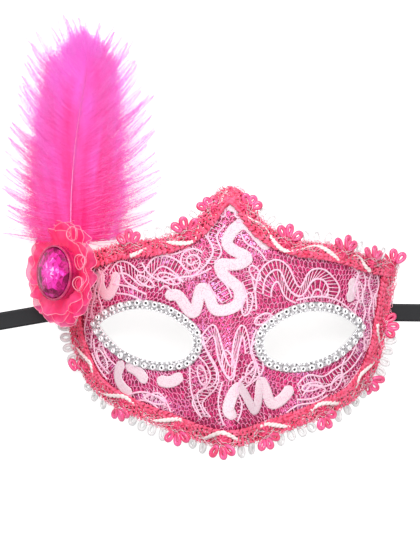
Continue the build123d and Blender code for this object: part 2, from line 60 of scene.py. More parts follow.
# ------------------------------------------------------------------ shader expressions
class Value:
    """A shader socket on which Python arithmetic adds Math nodes."""

    def __init__(self, owner: "Tree", socket: bpy.types.NodeSocket) -> None:
        """Keeps the socket and the tree that it belongs to."""
        self.owner = owner
        self.socket = socket

    def apply(self, operation: str, first: "Value | float", second: "Value | float" = 0.0) -> "Value":
        """Adds one Math node.

        Args:
            operation: the Math node's operation.
            first: its first input.
            second: its second input.

        Returns:
            The node's result.
        """
        made = self.owner.node("ShaderNodeMath", {"operation": operation}, {0: first, 1: second})
        return Value(self.owner, made.outputs[0])

    def __add__(self, other: "Value | float") -> "Value":
        """self + other."""
        return self.apply("ADD", self, other)

    def __sub__(self, other: "Value | float") -> "Value":
        """self - other."""
        return self.apply("SUBTRACT", self, other)

    def __rsub__(self, other: float) -> "Value":
        """other - self."""
        return self.apply("SUBTRACT", other, self)

    def __mul__(self, other: "Value | float") -> "Value":
        """self * other."""
        return self.apply("MULTIPLY", self, other)

    def __pow__(self, other: float) -> "Value":
        """self to the power of other."""
        return self.apply("POWER", self, other)

    def __gt__(self, other: "Value | float") -> "Value":
        """1 where self is greater than other, else 0."""
        return self.apply("GREATER_THAN", self, other)

    __radd__ = __add__
    __rmul__ = __mul__

    def sine(self) -> "Value":
        """The sine of self."""
        return self.apply("SINE", self)

    def capped(self) -> "Value":
        """self held between 0 and 1."""
        return self.apply("MINIMUM", self.apply("MAXIMUM", self, 0.0), 1.0)


class Tree:
    """A node tree, and the nodes and links that are added to it."""

    def __init__(self, tree: bpy.types.NodeTree) -> None:
        """Keeps the tree."""
        self.tree = tree

    def node(self, kind: str, settings: dict | None = None, inputs: dict | None = None) -> bpy.types.Node:
        """Adds a node.

        Args:
            kind: the node's type.
            settings: its own settings, set first; "stops" are a colour ramp's places and colours.
            inputs: values or links for its sockets, by name or number.

        Returns:
            The new node.
        """
        made = self.tree.nodes.new(kind)
        for key, setting in (settings or {}).items():
            if key == "stops":
                ramp = made.color_ramp
                while len(ramp.elements) < len(setting):
                    ramp.elements.new(0.5)
                for element, (position, colour) in zip(ramp.elements, setting):
                    element.position = position
                    element.color = (*colour, 1.0)
            else:
                setattr(made, key, setting)
        for key, value in (inputs or {}).items():
            self.feed(made.inputs[key], value)
        return made

    def feed(self, socket: bpy.types.NodeSocket, value: "Value | float | Sequence[float]") -> None:
        """Links a value to a socket, or sets the socket's own number or colour.

        Args:
            socket: the socket.
            value: what goes in.
        """
        if isinstance(value, Value):
            self.tree.links.new(value.socket, socket)
        elif isinstance(value, tuple) and len(socket.default_value) == 4:
            socket.default_value = (*value, 1.0)
        else:
            socket.default_value = value

    def mixed(self, share: "Value | float", low: "Value | Colour", high: "Value | Colour") -> Value:
        """The colour a share of the way from low to high."""
        made = self.node("ShaderNodeMix", {"data_type": "RGBA"}, {0: share, 6: low, 7: high})
        return Value(self, made.outputs[2])

    def seen(self) -> Value:
        """1 for rays from the camera and for those that gloss or glass sends on, else 0."""
        rays = self.node("ShaderNodeLightPath").outputs
        camera, glossy, through = (Value(self, rays[f"Is {kind} Ray"]) for kind in RAYS)
        return (camera + glossy + through).capped()


class Shader(Tree):
    """One material's node tree round its Principled BSDF."""

    def __init__(self, name: str) -> None:
        """Starts a material of this name."""
        self.material = bpy.data.materials.new(name)
        self.material.use_nodes = True
        super().__init__(self.material.node_tree)
        self.surface = self.tree.nodes["Principled BSDF"]
        self.place = Value(self, self.node("ShaderNodeTexCoord").outputs["Object"])

    def set(self, inputs: "dict[str, Value | float | Colour]") -> None:
        """Feeds the surface's sockets by name."""
        for name, value in inputs.items():
            self.feed(self.surface.inputs[name], value)

    def noise(self, scale: float, detail: float = 3.0, place: Value | None = None) -> Value:
        """Smooth noise, from about 0.25 to 0.75, at a scale in cells a metre."""
        inputs = {"Vector": place or self.place, "Scale": scale, "Detail": detail}
        return Value(self, self.node("ShaderNodeTexNoise", None, inputs).outputs[0])

    def cells(self, scale: float, output: str = "Color") -> Value:
        """Voronoi cells at a scale in cells a metre."""
        made = self.node("ShaderNodeTexVoronoi", None, {"Vector": self.place, "Scale": scale})
        return Value(self, made.outputs[output])

    def split(self, colour: Value, channel: int) -> Value:
        """One channel of a colour or a vector."""
        return Value(self, self.node("ShaderNodeSeparateXYZ", None, {0: colour}).outputs[channel])

    def vector(self, x: Value, y: Value) -> Value:
        """A vector of two values and nought."""
        return Value(self, self.node("ShaderNodeCombineXYZ", None, {"X": x, "Y": y}).outputs[0])

    def ramp(self, share: Value, stops: Sequence[tuple[float, Colour]]) -> Value:
        """A colour ramp through the stops."""
        return Value(self, self.node("ShaderNodeValToRGB", {"stops": stops}, {0: share}).outputs[0])

    def map_place(self) -> Value:
        """The piece's own map: along a strand or strip, and across it."""
        return Value(self, self.node("ShaderNodeUVMap", {"uv_map": BAKE_MAP}).outputs[0])

    def bump(self, height: Value, depth: float) -> None:
        """Feeds a bump of this depth in metres to the surface's normal."""
        made = self.node("ShaderNodeBump", None, {"Height": height, "Distance": depth, "Strength": 1.0})
        self.feed(self.surface.inputs["Normal"], Value(self, made.outputs[0]))

    def translucent(self, colour: "Value | Colour", share: float) -> None:
        """Lets some of the light through to the other side.

        Args:
            colour: the colour that it takes on.
            share: how much of it passes.
        """
        through = self.node("ShaderNodeBsdfTranslucent", None, {"Color": colour})
        both = self.node("ShaderNodeMixShader", None, {0: share})
        self.tree.links.new(self.surface.outputs[0], both.inputs[1])
        self.tree.links.new(through.outputs[0], both.inputs[2])
        self.tree.links.new(both.outputs[0], self.tree.nodes["Material Output"].inputs[0])


# ------------------------------------------------------------------ finishes
class Grain(Enum):
    """What breaks up a finish's colour."""

    PATCHES = "patches"
    DOTS = "dots"


@dataclass(frozen=True)
class Finish:
    """A surface of two mixed tones with fine relief. Scales are in cells a metre, relief in metres."""

    name: str
    slot: str
    light: Colour
    dark: Colour
    scale: float = 900.0
    grain: Grain = Grain.PATCHES
    rough: float = 0.6
    rough_spread: float = 0.15
    relief: float = 0.00008
    relief_scale: float = 2500.0
    metal: float = 0.0
    coat: float = 0.0
    coat_rough: float = 0.12
    sheen: float = 0.0
    alpha: float = 1.0
    through: float = 0.0
    # painted glow: an emission strength that brightens a piece which is no lamp
    painted_glow: float = 0.0

    def patches(self, shader: Shader) -> Value:
        """Smooth patches from 0 to 1 at the finish's scale."""
        return ((shader.noise(self.scale) - 0.3) * 2.4).capped()

    def finished(self, shader: Shader, colour: Value) -> bpy.types.Material:
        """The material, with its faint painted glow, an emission for a piece that is no lamp, and the light
        that it lets through.
        """
        # painted glow: the piece gives off its own colour as light
        if self.painted_glow:
            shader.set({"Emission Color": colour, "Emission Strength": self.painted_glow})
        if self.through:
            shader.translucent(colour, self.through)
        return shader.material

    def material(self) -> bpy.types.Material:
        """Builds the material.

        Returns:
            The material: its tones in patches, or in dots where the grain is stitched.
        """
        shader = Shader(self.name)
        if self.grain is Grain.DOTS:
            dots = (shader.cells(self.scale, "Distance") - 0.28) * 3.2
            share = (dots + shader.noise(self.scale / 6) * 0.8).capped()
        else:
            share = self.patches(shader)
        colour = shader.mixed(share, self.dark, self.light)
        spread = shader.noise(self.relief_scale / 2) * (2 * self.rough_spread)
        shader.bump(share + shader.noise(self.relief_scale) * 0.6, self.relief)
        shader.set({
            "Base Color": colour,
            "Roughness": (spread + (self.rough - self.rough_spread)).capped(),
            "Metallic": self.metal,
            "Coat Weight": self.coat,
            "Coat Roughness": self.coat_rough,
            "Sheen Weight": self.sheen,
            "Alpha": self.alpha,
        })
        return self.finished(shader, colour)


@dataclass(frozen=True)
class GlitterFinish(Finish):
    """Cloth covered with tiny metallic flakes that face every way."""

    flake: Colour = (1.0, 0.42, 0.88)
    pitch: float = 1500.0
    patch_scale: float = 42.0
    flash_above: float = 1.02

    def material(self) -> bpy.types.Material:
        """Builds the material.

        Returns:
            The material: each Voronoi cell is a flake with its own tone and tilt.
        """
        shader = Shader(self.name)
        cells = shader.cells(self.pitch)
        tone = shader.split(cells, 0)
        patch = shader.noise(self.patch_scale, 1.5)
        bright = (shader.split(cells, 1) + patch * 0.6) > self.flash_above
        base = shader.mixed(tone * tone, self.dark, self.light)
        flake = shader.mixed(((patch - 0.46) * 6.0).capped(), self.light, self.flake)
        colour = shader.mixed(bright, base, flake)
        shader.set({"Base Color": colour, "Metallic": bright * 0.5, "Roughness": 0.5 - bright * 0.25})
        shader.bump(tone, self.relief)
        return self.finished(shader, colour)


@dataclass(frozen=True)
class WovenFinish(Finish):
    """Satin ribbon or organza: fine threads along and across, on the piece's own map.

    Sheer is how far the cloth's alpha varies, and gloss is its specular level.
    """

    threads: tuple[float, float] = (300.0, 60.0)
    sheer: float = 0.0
    gloss: float = 0.5

    def material(self) -> bpy.types.Material:
        """Builds the material.

        Returns:
            The material, woven of two sines across each other.
        """
        shader = Shader(self.name)
        where = shader.map_place()
        along = (shader.split(where, 0) * (self.threads[0] * 2 * math.pi)).sine()
        across = (shader.split(where, 1) * (self.threads[1] * 2 * math.pi)).sine()
        weave = (along * across) * 0.5 + 0.5
        patch = self.patches(shader)
        colour = shader.mixed(patch * 0.8 + weave * 0.2, self.dark, self.light)
        shader.bump(weave, self.relief)
        alpha = self.alpha + patch * self.sheer - self.sheer * 0.5
        shader.set({
            "Base Color": colour,
            "Roughness": (shader.noise(self.scale * 2) * 0.2 + (self.rough - 0.1)).capped(),
            "Sheen Weight": self.sheen,
            "Specular IOR Level": self.gloss,
            "Alpha": alpha.capped() if self.sheer else self.alpha,
        })
        return self.finished(shader, colour)


@dataclass(frozen=True)
class GemFinish(Finish):
    """Foil-backed magenta acrylic: its facets are painted dark wine, magenta or lilac white, each in cells,
    as painted reflections and shade with a painted highlight.
    """

    # wine, bloom and the glint are steps of the painted reflection, from shaded facets up to the painted
    # highlight
    wine: Colour = (0.50, 0.006, 0.16)
    bloom: Colour = (0.90, 0.07, 0.58)
    painted_glint: Colour = (0.86, 0.55, 0.95)
    gloss: float = 0.2

    def material(self) -> bpy.types.Material:
        """Builds the material.

        Returns:
            The material: its painted reflections come from the map's random facet tone and painted highlight,
                broken by painted reflections of the back's own facets.
        """
        shader = Shader(self.name)
        # painted reflection: a random tone for each facet, and the painted highlight, bright near the middle
        # and shaded towards the rim
        facet = shader.split(shader.map_place(), 0)
        light = shader.split(shader.map_place(), 1)
        # painted reflections of the back's facets, and finer painted sparkle that also sets the roughness
        back = shader.split(shader.cells(330.0), 0)
        fine = shader.split(shader.cells(800.0), 1)
        tone = (facet * 0.34 + back * 0.22 + fine * 0.14 + light * 0.60 - 0.12).capped()
        tones = (self.dark, self.wine, self.light, self.bloom, self.painted_glint)
        colour = shader.ramp(tone, list(zip((0.12, 0.34, 0.54, 0.72, 0.86), tones)))
        shader.set({
            "Base Color": colour,
            "Roughness": fine * 0.15 + 0.25,
            # the coat is strongest where the highlight is painted
            "Coat Weight": light * 0.4,
            "Coat Roughness": self.coat_rough,
            "Specular IOR Level": self.gloss,
        })
        shader.bump(back, self.relief)
        return self.finished(shader, colour)


@dataclass(frozen=True)
class PlumeFinish(Finish):
    """Dyed down, deeper at the foot and paler, more violet, at the tips. Foot is its place in metres."""

    tip: Colour = (1.0, 0.50, 0.95)
    foot: tuple[float, float] = (-0.087, 0.03)

    def material(self) -> bpy.types.Material:
        """Builds the material.

        Returns:
            The material: its tone rises along the plume, in streaks that fan out from the foot.
        """
        shader = Shader(self.name)
        along = shader.split(shader.map_place(), 0)
        across = shader.split(shader.place, 0) - self.foot[0]
        above = shader.split(shader.place, 1) - self.foot[1]
        fan = shader.vector(across * (above + 0.03) ** -1.0 * 9.0, above * 12.0)
        height = (above - 0.04) * 8.5
        streak = shader.noise(1.0, 3.0, fan) * 2.1 + shader.noise(60.0, 2.0) * 0.5
        base = shader.mixed((height + streak - 0.98).capped(), self.dark, self.light)
        colour = shader.mixed(((along - 0.45) * 1.1).capped(), base, self.tip)
        shader.set({"Base Color": colour, "Roughness": self.rough, "Sheen Weight": self.sheen})
        return self.finished(shader, colour)


BOARD = Finish("moulded board", "moulded_board", (0.84, 0.81, 0.77), (0.76, 0.72, 0.68), 60.0, rough=0.85)
GLITTER = GlitterFinish(
    "glitter cloth", "glitter_cloth", (0.90, 0.035, 0.24), (0.15, 0.003, 0.035), relief=0.00025
)
NET = Finish("lace thread", "lace", (1.0, 0.44, 0.68), (0.92, 0.13, 0.36), 110.0, rough=0.7, sheen=0.1)
LACE_CORD = Finish("lace cord", "lace", (1.0, 0.72, 0.84), (0.97, 0.48, 0.68), 500.0, rough=0.55, sheen=0.2)
SATIN_STITCH = Finish(
    "satin stitch", "lace", (1.0, 0.82, 0.89), (0.95, 0.50, 0.66), 1500.0, Grain.DOTS, 0.55, relief=0.00009,
    relief_scale=1600.0, alpha=0.82,
)
KNIT = Finish(
    "coral knit", "coral_knit", (1.0, 0.17, 0.33), (0.78, 0.018, 0.10), 420.0, rough=0.5, sheen=0.2
)
KNIT_CAP = Finish(
    "knit cap", "coral_knit", (0.98, 0.09, 0.27), (0.66, 0.015, 0.09), 420.0, rough=0.4, coat=0.3
)
# the knit's ground is coloured dark as painted shade in the gaps between the stitches
KNIT_SHADE_GROUND = Finish("knit ground painted shade", "coral_knit", (0.60, 0.014, 0.085), (0.30, 0.005, 0.035), 700.0, rough=0.8)
FRILL = Finish("fine frill", "coral_knit", (1.0, 0.66, 0.76), (0.93, 0.16, 0.30), 300.0, rough=0.5)
METAL_THREAD = Finish(
    "metal thread", "coral_knit", (1.0, 0.90, 0.93), (0.74, 0.42, 0.50), 620.0, rough=0.35, metal=0.15,
    relief=0.00002,
)
CORAL_CORD = Finish(
    "coral cord", "coral_satin_cord", (0.97, 0.10, 0.36), (0.74, 0.016, 0.10), 190.0, rough=0.28, coat=0.8,
    relief=0.00012, relief_scale=1500.0,
)
WHITE_CORD = Finish(
    "white cord", "white_satin_cord", (1.0, 0.90, 0.88), (0.93, 0.76, 0.76), 700.0, rough=0.35
)
# the glow here is a painted glow that whitens the clear loops
PICOT = Finish(
    "clear picot", "clear_picot", (1.0, 0.98, 0.98), (0.74, 0.72, 0.73), 520.0, rough=0.15, coat=0.9,
    relief=0.00014, relief_scale=1300.0, through=0.2, painted_glow=0.05,
)
# the glow here is a painted glow that brightens the studs and beads
SILVER = Finish(
    "silver", "silver_stud", (1.0, 1.0, 1.0), (0.74, 0.73, 0.76), 1500.0, rough=0.22, metal=0.4, painted_glow=0.05,
    relief=0.00008,
)
DARK_SILVER = Finish(
    "blackened silver", "silver_stud", (0.06, 0.05, 0.055), (0.02, 0.016, 0.018), 900.0, rough=0.5, metal=0.3
)
TAPE = Finish(
    "silver tape", "silver_tape", (0.88, 0.85, 0.88), (0.06, 0.05, 0.055), 900.0, rough=0.4, metal=0.4
)
RIBBON = WovenFinish(
    "black satin", "black_satin", (0.016, 0.017, 0.019), (0.009, 0.009, 0.011), 60.0, rough=0.5,
    relief=0.00002, sheen=0.03, gloss=0.22,
)
TAIL = Finish(
    "black satin end", "black_satin", (0.016, 0.017, 0.019), (0.009, 0.009, 0.011), 900.0, rough=0.45
)
FELT = Finish("pink felt", "felt", (0.85, 0.05, 0.16), (0.66, 0.03, 0.10), 1800.0, rough=0.95, sheen=0.5)
# the glow here is a painted glow that brightens the organza
ORGANZA = WovenFinish(
    "coral organza", "organza", (1.0, 0.20, 0.50), (0.97, 0.065, 0.31), 90.0, rough=0.35,
    relief=0.00002, alpha=0.46, through=0.5, painted_glow=0.30, threads=(420.0, 60.0), sheer=0.4,
)
EDGE = Finish("wired edge", "organza_edge", (1.0, 0.42, 0.56), (1.0, 0.22, 0.38), 600.0, rough=0.3, coat=0.3)
RIM_CLEAR = Finish(
    "clear rim", "gem_foil", (0.80, 0.03, 0.20), (0.34, 0.006, 0.07), 200.0, rough=0.3, coat=0.3,
    relief=0.00001,
)
# the gem's facet tones are painted reflections with a painted highlight, and its glow is a painted glow
GEM = GemFinish(
    "magenta acrylic", "gem_acrylic", (0.90, 0.02, 0.42), (0.16, 0.001, 0.045), relief=0.0004,
    coat_rough=0.03, painted_glow=0.12,
)
QUILL = Finish("quill", "quill", (1.0, 0.34, 0.66), (0.98, 0.20, 0.52), 150.0, rough=0.4)
# the glow here is a painted glow that stands in for light scattered through the down
PLUME = PlumeFinish(
    "dyed down", "plume", (1.0, 0.32, 0.88), (1.0, 0.06, 0.47), rough=0.75, sheen=0.2, through=0.5,
    painted_glow=0.26,
)


# ------------------------------------------------------------------ curves in arrays
def unit(vectors: Array) -> Array:
    """Vectors of length 1, the same way."""
    return vectors / np.maximum(np.linalg.norm(vectors, axis=-1, keepdims=True), 1e-9)


def smooth_line(points: Sequence[Sequence[float]], count: int) -> Array:
    """A natural cubic spline through the points, by chord length, evenly spaced.

    Args:
        points: the places that it goes through, in order.
        count: how many points are wanted.

    Returns:
        The spline's points.
    """
    knots = np.asarray(points, dtype=float)
    chords = np.linalg.norm(np.diff(knots, axis=0), axis=1)
    places = run_of(knots)
    size = len(knots)
    table = np.eye(size)
    right = np.zeros_like(knots)
    inner = np.arange(1, size - 1)
    table[inner, inner - 1] = chords[:-1]
    table[inner, inner] = 2 * (chords[:-1] + chords[1:])
    table[inner, inner + 1] = chords[1:]
    slopes = np.diff(knots, axis=0) / chords[:, None]
    right[inner] = 6 * np.diff(slopes, axis=0)
    bends = np.linalg.solve(table, right)
    wanted = np.linspace(0.0, places[-1], 12 * size)
    span = np.clip(np.searchsorted(places, wanted, "right") - 1, 0, size - 2)
    gap = chords[span][:, None]
    back = (places[span + 1] - wanted)[:, None]
    ahead = (wanted - places[span])[:, None]
    line = (bends[span] * back**3 + bends[span + 1] * ahead**3) / (6 * gap)
    line += (knots[span] / gap - bends[span] * gap / 6) * back
    line += (knots[span + 1] / gap - bends[span + 1] * gap / 6) * ahead
    return evenly(line, count)


def full_turn(count: int) -> Array:
    """Angles evenly spaced round a circle."""
    return np.linspace(0, 2 * math.pi, count, endpoint=False)


def run_of(line: Array) -> Array:
    """How far along a line each of its points is."""
    return np.concatenate([[0.0], np.cumsum(np.linalg.norm(np.diff(line, axis=0), axis=1))])


def evenly(line: Array, count: int, closed: bool = False) -> Array:
    """Spaces points evenly along a line.

    Args:
        line: the line's points; a closed one ends on its first again.
        count: how many points are wanted.
        closed: whether the last wanted point stops one step short of the first.

    Returns:
        The points.
    """
    places = run_of(line)
    wanted = np.linspace(0.0, places[-1], count, endpoint=not closed)
    return np.stack([np.interp(wanted, places, axis) for axis in line.T], axis=1)


def length_of(line: Array) -> float:
    """The length of a line of points."""
    return float(np.linalg.norm(np.diff(line, axis=0), axis=1).sum())


def arc_through(
    first: Sequence[float], middle: Sequence[float], last: Sequence[float], count: int
) -> Array:
    """An arc of a circle.

    Args:
        first: where it starts.
        middle: a place that it goes through.
        last: where it ends.
        count: how many points are wanted.

    Returns:
        The arc's points, from the first to the last.
    """
    a, b, c = (complex(*place) for place in (first, middle, last))
    ratio = (c - a) / (b - a)
    centre = a + (b - a) * (ratio - abs(ratio) ** 2) / (ratio - ratio.conjugate())
    start = np.angle(a - centre)
    sweep = np.angle((c - centre) / (a - centre))
    through = np.angle((b - centre) / (a - centre))
    if sweep * through < 0 or abs(through) > abs(sweep):
        sweep -= math.copysign(2 * math.pi, sweep)
    points = centre + abs(a - centre) * np.exp(1j * (start + sweep * np.linspace(0, 1, count)))
    return np.stack([points.real, points.imag], axis=1)


def inside(places: Array, outline: Array) -> Array:
    """Whether places lie inside a closed outline, by counting the edges to their right.

    Args:
        places: places (x, y).
        outline: the outline's points.

    Returns:
        True or false for each place.
    """
    x, y = places[..., 0, None], places[..., 1, None]
    after = np.roll(outline, -1, axis=0)
    spans = (outline[:, 1] > y) != (after[:, 1] > y)
    rise = np.where(after[:, 1] == outline[:, 1], 1e-9, after[:, 1] - outline[:, 1])
    crossing = outline[:, 0] + (y - outline[:, 1]) / rise * (after[:, 0] - outline[:, 0])
    return (spans & (x < crossing)).sum(-1) % 2 == 1


# ------------------------------------------------------------------ meshes in arrays
def round_profile(sides: int, flatten: float = 1.0) -> Array:
    """A circle of radius 1, or an ellipse flattened across the surface."""
    turn = full_turn(sides)
    return np.stack([np.cos(turn), flatten * np.sin(turn)], axis=1)


def even_map(rows: int, columns: int) -> Array:
    """Map places spread evenly over a grid."""
    along, across = np.linspace(0, 1, rows), np.linspace(0, 1, columns)
    return np.stack(np.meshgrid(along, across, indexing="ij"), axis=-1)


def linked(name: str, data: bpy.types.ID) -> bpy.types.Object:
    """A new object that holds this data, put in the scene."""
    made = bpy.data.objects.new(name, data)
    bpy.context.collection.objects.link(made)
    return made


class Shape:
    """Points, faces and map places gathered for one piece, in millimetres."""

    def __init__(self) -> None:
        """Starts with nothing."""
        self.points: list[Array] = []
        self.faces: list[Array] = []
        self.maps: list[Array] = []
        self.count = 0

    def add(self, points: Array, faces: Sequence[Array], maps: Array | None = None) -> None:
        """Adds points and faces.

        Args:
            points: the points.
            faces: blocks of faces that index them, each block with its own number of corners.
            maps: each point's place on the map.
        """
        points = points.reshape(-1, 3)
        self.points.append(points)
        self.faces.extend(np.asarray(block) + self.count for block in faces)
        self.maps.append(np.zeros((len(points), 2)) if maps is None else maps.reshape(-1, 2))
        self.count += len(points)

    def swept(
        self,
        paths: Array,
        profile: Array,
        size: Array | float = 1.0,
        up: Array | Sequence[float] = (0.0, 0.0, 1.0),
        closed: bool = False,
    ) -> None:
        """Carries a closed profile along each path.

        A point lies at path + side * a + lift * b, where (a, b) is the profile's point times the
        size there, side is up x tangent and lift is tangent x side.

        Args:
            paths: k paths of n points.
            profile: s points (a, b), counter-clockwise seen from ahead.
            size: the profile's scale, alike for all or for each path and point.
            up: the way that the profile's second axis leans to.
            closed: whether each path runs back to its start.
        """
        paths = np.asarray(paths, dtype=float)
        if paths.ndim == 2:
            paths = paths[None]
        count, length, _ = paths.shape
        if closed:
            tangent = np.roll(paths, -1, axis=1) - np.roll(paths, 1, axis=1)
        else:
            tangent = np.gradient(paths, axis=1)
        tangent = unit(tangent)
        side = unit(np.cross(np.broadcast_to(up, paths.shape), tangent))
        lift = np.cross(tangent, side)
        scale = np.broadcast_to(np.asarray(size, dtype=float), (count, length))[..., None, None]
        ring = side[:, :, None] * profile[:, 0, None] + lift[:, :, None] * profile[:, 1, None]
        points = paths[:, :, None] + ring * scale
        sides = len(profile)
        index = np.arange(count * length * sides).reshape(count, length, sides)
        here, ahead = (index, np.roll(index, -1, axis=1)) if closed else (index[:, :-1], index[:, 1:])
        quads = np.stack([here, np.roll(here, -1, 2), np.roll(ahead, -1, 2), ahead], axis=-1)
        faces = [quads.reshape(-1, 4)]
        if not closed:
            faces += [index[:, 0, ::-1], index[:, -1]]
        along = np.broadcast_to(np.linspace(0, 1, length)[None, :, None], index.shape)
        if count == 1:
            across = np.linspace(0, 1, sides)[None, None]
        else:
            across = np.linspace(0.01, 0.99, count)[:, None, None]
        self.add(points, faces, np.stack([along, np.broadcast_to(across, index.shape)], axis=-1))

    def stamped(
        self, stamp: "Shape", places: Array, ways: Array, ups: Array, size: Array | float = 1.0
    ) -> None:
        """Copies a small shape to many places.

        Args:
            stamp: the shape, about its own origin.
            places: where each copy's origin goes.
            ways: each copy's first axis.
            ups: the way that each copy's third axis leans to.
            size: each copy's scale.
        """
        points, faces, maps = stamp.joined()
        count = len(places)
        first = unit(ways)
        second = unit(np.cross(ups, first))
        third = np.cross(first, second)
        scale = np.broadcast_to(np.asarray(size, dtype=float), (count,))[:, None, None]
        axes = np.stack([first, second, third], axis=1)
        placed = places[:, None] + (points[None] @ axes) * scale
        shift = (np.arange(count) * len(points))[:, None, None]
        blocks = [(block[None] + shift).reshape(-1, block.shape[1]) for block in faces]
        self.add(placed, blocks, np.broadcast_to(maps, (count, *maps.shape)))

    def surface(self, grid: Array, closed: bool = False, maps: Array | None = None) -> None:
        """Adds one open surface.

        Args:
            grid: rows of points.
            closed: whether the last row joins the first.
            maps: each point's place on the map, or spread evenly.
        """
        rows, columns, _ = grid.shape
        index = np.arange(rows * columns).reshape(rows, columns)
        here, ahead = (index, np.roll(index, -1, axis=0)) if closed else (index[:-1], index[1:])
        quads = np.stack([here[:, :-1], ahead[:, :-1], ahead[:, 1:], here[:, 1:]], axis=-1)
        self.add(grid, [quads.reshape(-1, 4)], even_map(rows, columns) if maps is None else maps)

    def wall(self, grid: Array, maps: Array | None = None) -> None:
        """Adds a tube with a face at each end.

        Args:
            grid: the tube's rings of points.
            maps: each point's place on the map.
        """
        rows, columns, _ = grid.shape
        index = np.arange(rows * columns).reshape(rows, columns)
        here, ahead = index[:-1], index[1:]
        quads = np.stack([here, ahead, np.roll(ahead, -1, 1), np.roll(here, -1, 1)], axis=-1)
        self.add(grid, [quads.reshape(-1, 4), index[:1], index[-1:, ::-1]], maps)

    def joined(self) -> tuple[Array, list[Array], Array]:
        """All points, face blocks and map places."""
        return np.concatenate(self.points), self.faces, np.concatenate(self.maps)

    def piece(
        self, name: str, finish: Finish, replaced: Sequence[str] = (), flat: bool = False
    ) -> bpy.types.Object:
        """Makes the Blender object.

        Args:
            name: the piece's name.
            finish: its material.
            replaced: the CAD nodes that it stands for.
            flat: whether its facets show.

        Returns:
            The object, riding on the mask.
        """
        points, faces, maps = self.joined()
        corners = np.concatenate([block.ravel() for block in faces])
        sizes = np.concatenate([np.full(len(block), block.shape[1]) for block in faces])
        mesh = bpy.data.meshes.new(name)
        mesh.vertices.add(len(points))
        mesh.vertices.foreach_set("co", (points * UNIT).ravel())
        mesh.loops.add(len(corners))
        mesh.loops.foreach_set("vertex_index", corners.astype(np.int32))
        mesh.polygons.add(len(sizes))
        mesh.polygons.foreach_set("loop_start", (np.cumsum(sizes) - sizes).astype(np.int32))
        mesh.polygons.foreach_set("use_smooth", np.full(len(sizes), not flat))
        layer = mesh.uv_layers.new(name=BAKE_MAP)
        layer.uv.foreach_set("vector", maps[corners].astype(np.float32).ravel())
        mesh.update(calc_edges=True)
        made = linked(name, mesh)
        dress(made, finish)
        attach(made, "root")
        if replaced:
            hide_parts(*replaced)
        return made


made_materials: dict[str, bpy.types.Material] = {}
made_pieces: list[bpy.types.Object] = []


def material_of(finish: Finish) -> bpy.types.Material:
    """The finish's material, made the first time that it is asked for."""
    if finish.name not in made_materials:
        made_materials[finish.name] = finish.material()
    return made_materials[finish.name]


def dress(piece: bpy.types.Object, finish: Finish) -> None:
    """Gives a piece its finish, and lists it for the report.

    Args:
        piece: the piece.
        finish: its finish.
    """
    piece.data.materials.clear()
    piece.data.materials.append(material_of(finish))
    made_pieces.append(piece)


def dress_node(node: str, finish: Finish) -> None:
    """Gives a CAD node that stays its finish, and lists it for the report.

    Args:
        node: the node's name.
        finish: its finish.
    """
    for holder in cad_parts[node].material_slots:
        holder.material = material_of(finish)
    made_pieces.append(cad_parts[node])


# ------------------------------------------------------------------ the moulded face
@dataclass(frozen=True)
class FaceForm:
    """The face's height over the table, as the CAD shell has it."""

    face_depth: float = 48.0
    forehead_fall: float = 8.0
    cheek_fall: float = 4.0
    temple_half_width: float = 85.8
    temple_flare: float = 0.16
    wrap_power: float = 3.0
    nose_height: float = 24.0
    nose_top: float = 26.0
    nose_bottom: float = -46.0
    nose_half_widths: tuple[float, float] = (10.5, 15.0)
    socket_depth: float = 2.5
    socket_place: tuple[float, float] = (43.0, -1.0)
    socket_spread: tuple[float, float] = (20.0, 15.0)
    peak_height: float = 81.0
    chin_depth: float = 59.5
    fade: float = 15.0
    lace_top: float = 2.55
    trim_low: float = 2.65
    flare_height: float = 1.1
    flare_blend: float = 2.0

    def height(self, x: Array, y: Array) -> Array:
        """Height of the shell's inner skin: a wrapped face, plus the nose, less the eye sockets.

        Args:
            x: places across the face.
            y: places up it.

        Returns:
            The heights.
        """
        half_width = self.temple_half_width + self.temple_flare * y
        above = np.maximum(0, y - self.fade) / (self.peak_height - self.fade)
        below = np.maximum(0, -self.fade - y) / (self.chin_depth - self.fade)
        depth = self.face_depth - self.forehead_fall * above**2 - self.cheek_fall * below**2
        wrapped = depth * (1 - (np.abs(x) / half_width) ** self.wrap_power)
        run = np.clip((self.nose_top - y) / (self.nose_top - self.nose_bottom), 0, 1)
        narrow, wide = self.nose_half_widths
        spread = narrow + (wide - narrow) * run
        nose = self.nose_height * run**2 * (3 - 2 * run) * np.exp(-((x / spread) ** 2))
        across = (np.abs(x) - self.socket_place[0]) / self.socket_spread[0]
        along = (y - self.socket_place[1]) / self.socket_spread[1]
        return wrapped + nose - self.socket_depth * np.exp(-(across**2) - along**2)

    def skin(self, x: Array, y: Array, trim: bool) -> Array:
        """Height of the lace's top, or of the skin under the rim trim.

        The trim's skin levels out over the table: it is the flare height plus half the sum of what
        is over it and the root of that squared plus the blend squared.

        Args:
            x: places across the face.
            y: places up it.
            trim: whether it is the trim's skin.

        Returns:
            The heights.
        """
        if not trim:
            return self.height(x, y) + self.lace_top
        over = self.height(x, y) + self.trim_low - self.flare_height
        return self.flare_height + (over + np.sqrt(over * over + self.flare_blend**2)) / 2

    def drape(self, plan: Array, lift: Array | float = 0.0, trim: bool = False) -> tuple[Array, Array]:
        """Lays plan places on a skin.

        Args:
            plan: places (x, y).
            lift: how far off the skin, square to it.
            trim: whether the skin is the one under the rim trim.

        Returns:
            The points, and the skin's normals there.
        """
        step = 0.25
        x, y = plan[..., 0], plan[..., 1]
        dx = (self.skin(x + step, y, trim) - self.skin(x - step, y, trim)) / (2 * step)
        dy = (self.skin(x, y + step, trim) - self.skin(x, y - step, trim)) / (2 * step)
        normal = unit(np.stack([-dx, -dy, np.ones_like(dx)], axis=-1))
        base = np.stack([x, y, self.skin(x, y, trim)], axis=-1)
        return base + normal * np.asarray(lift)[..., None], normal


FORM = FaceForm()


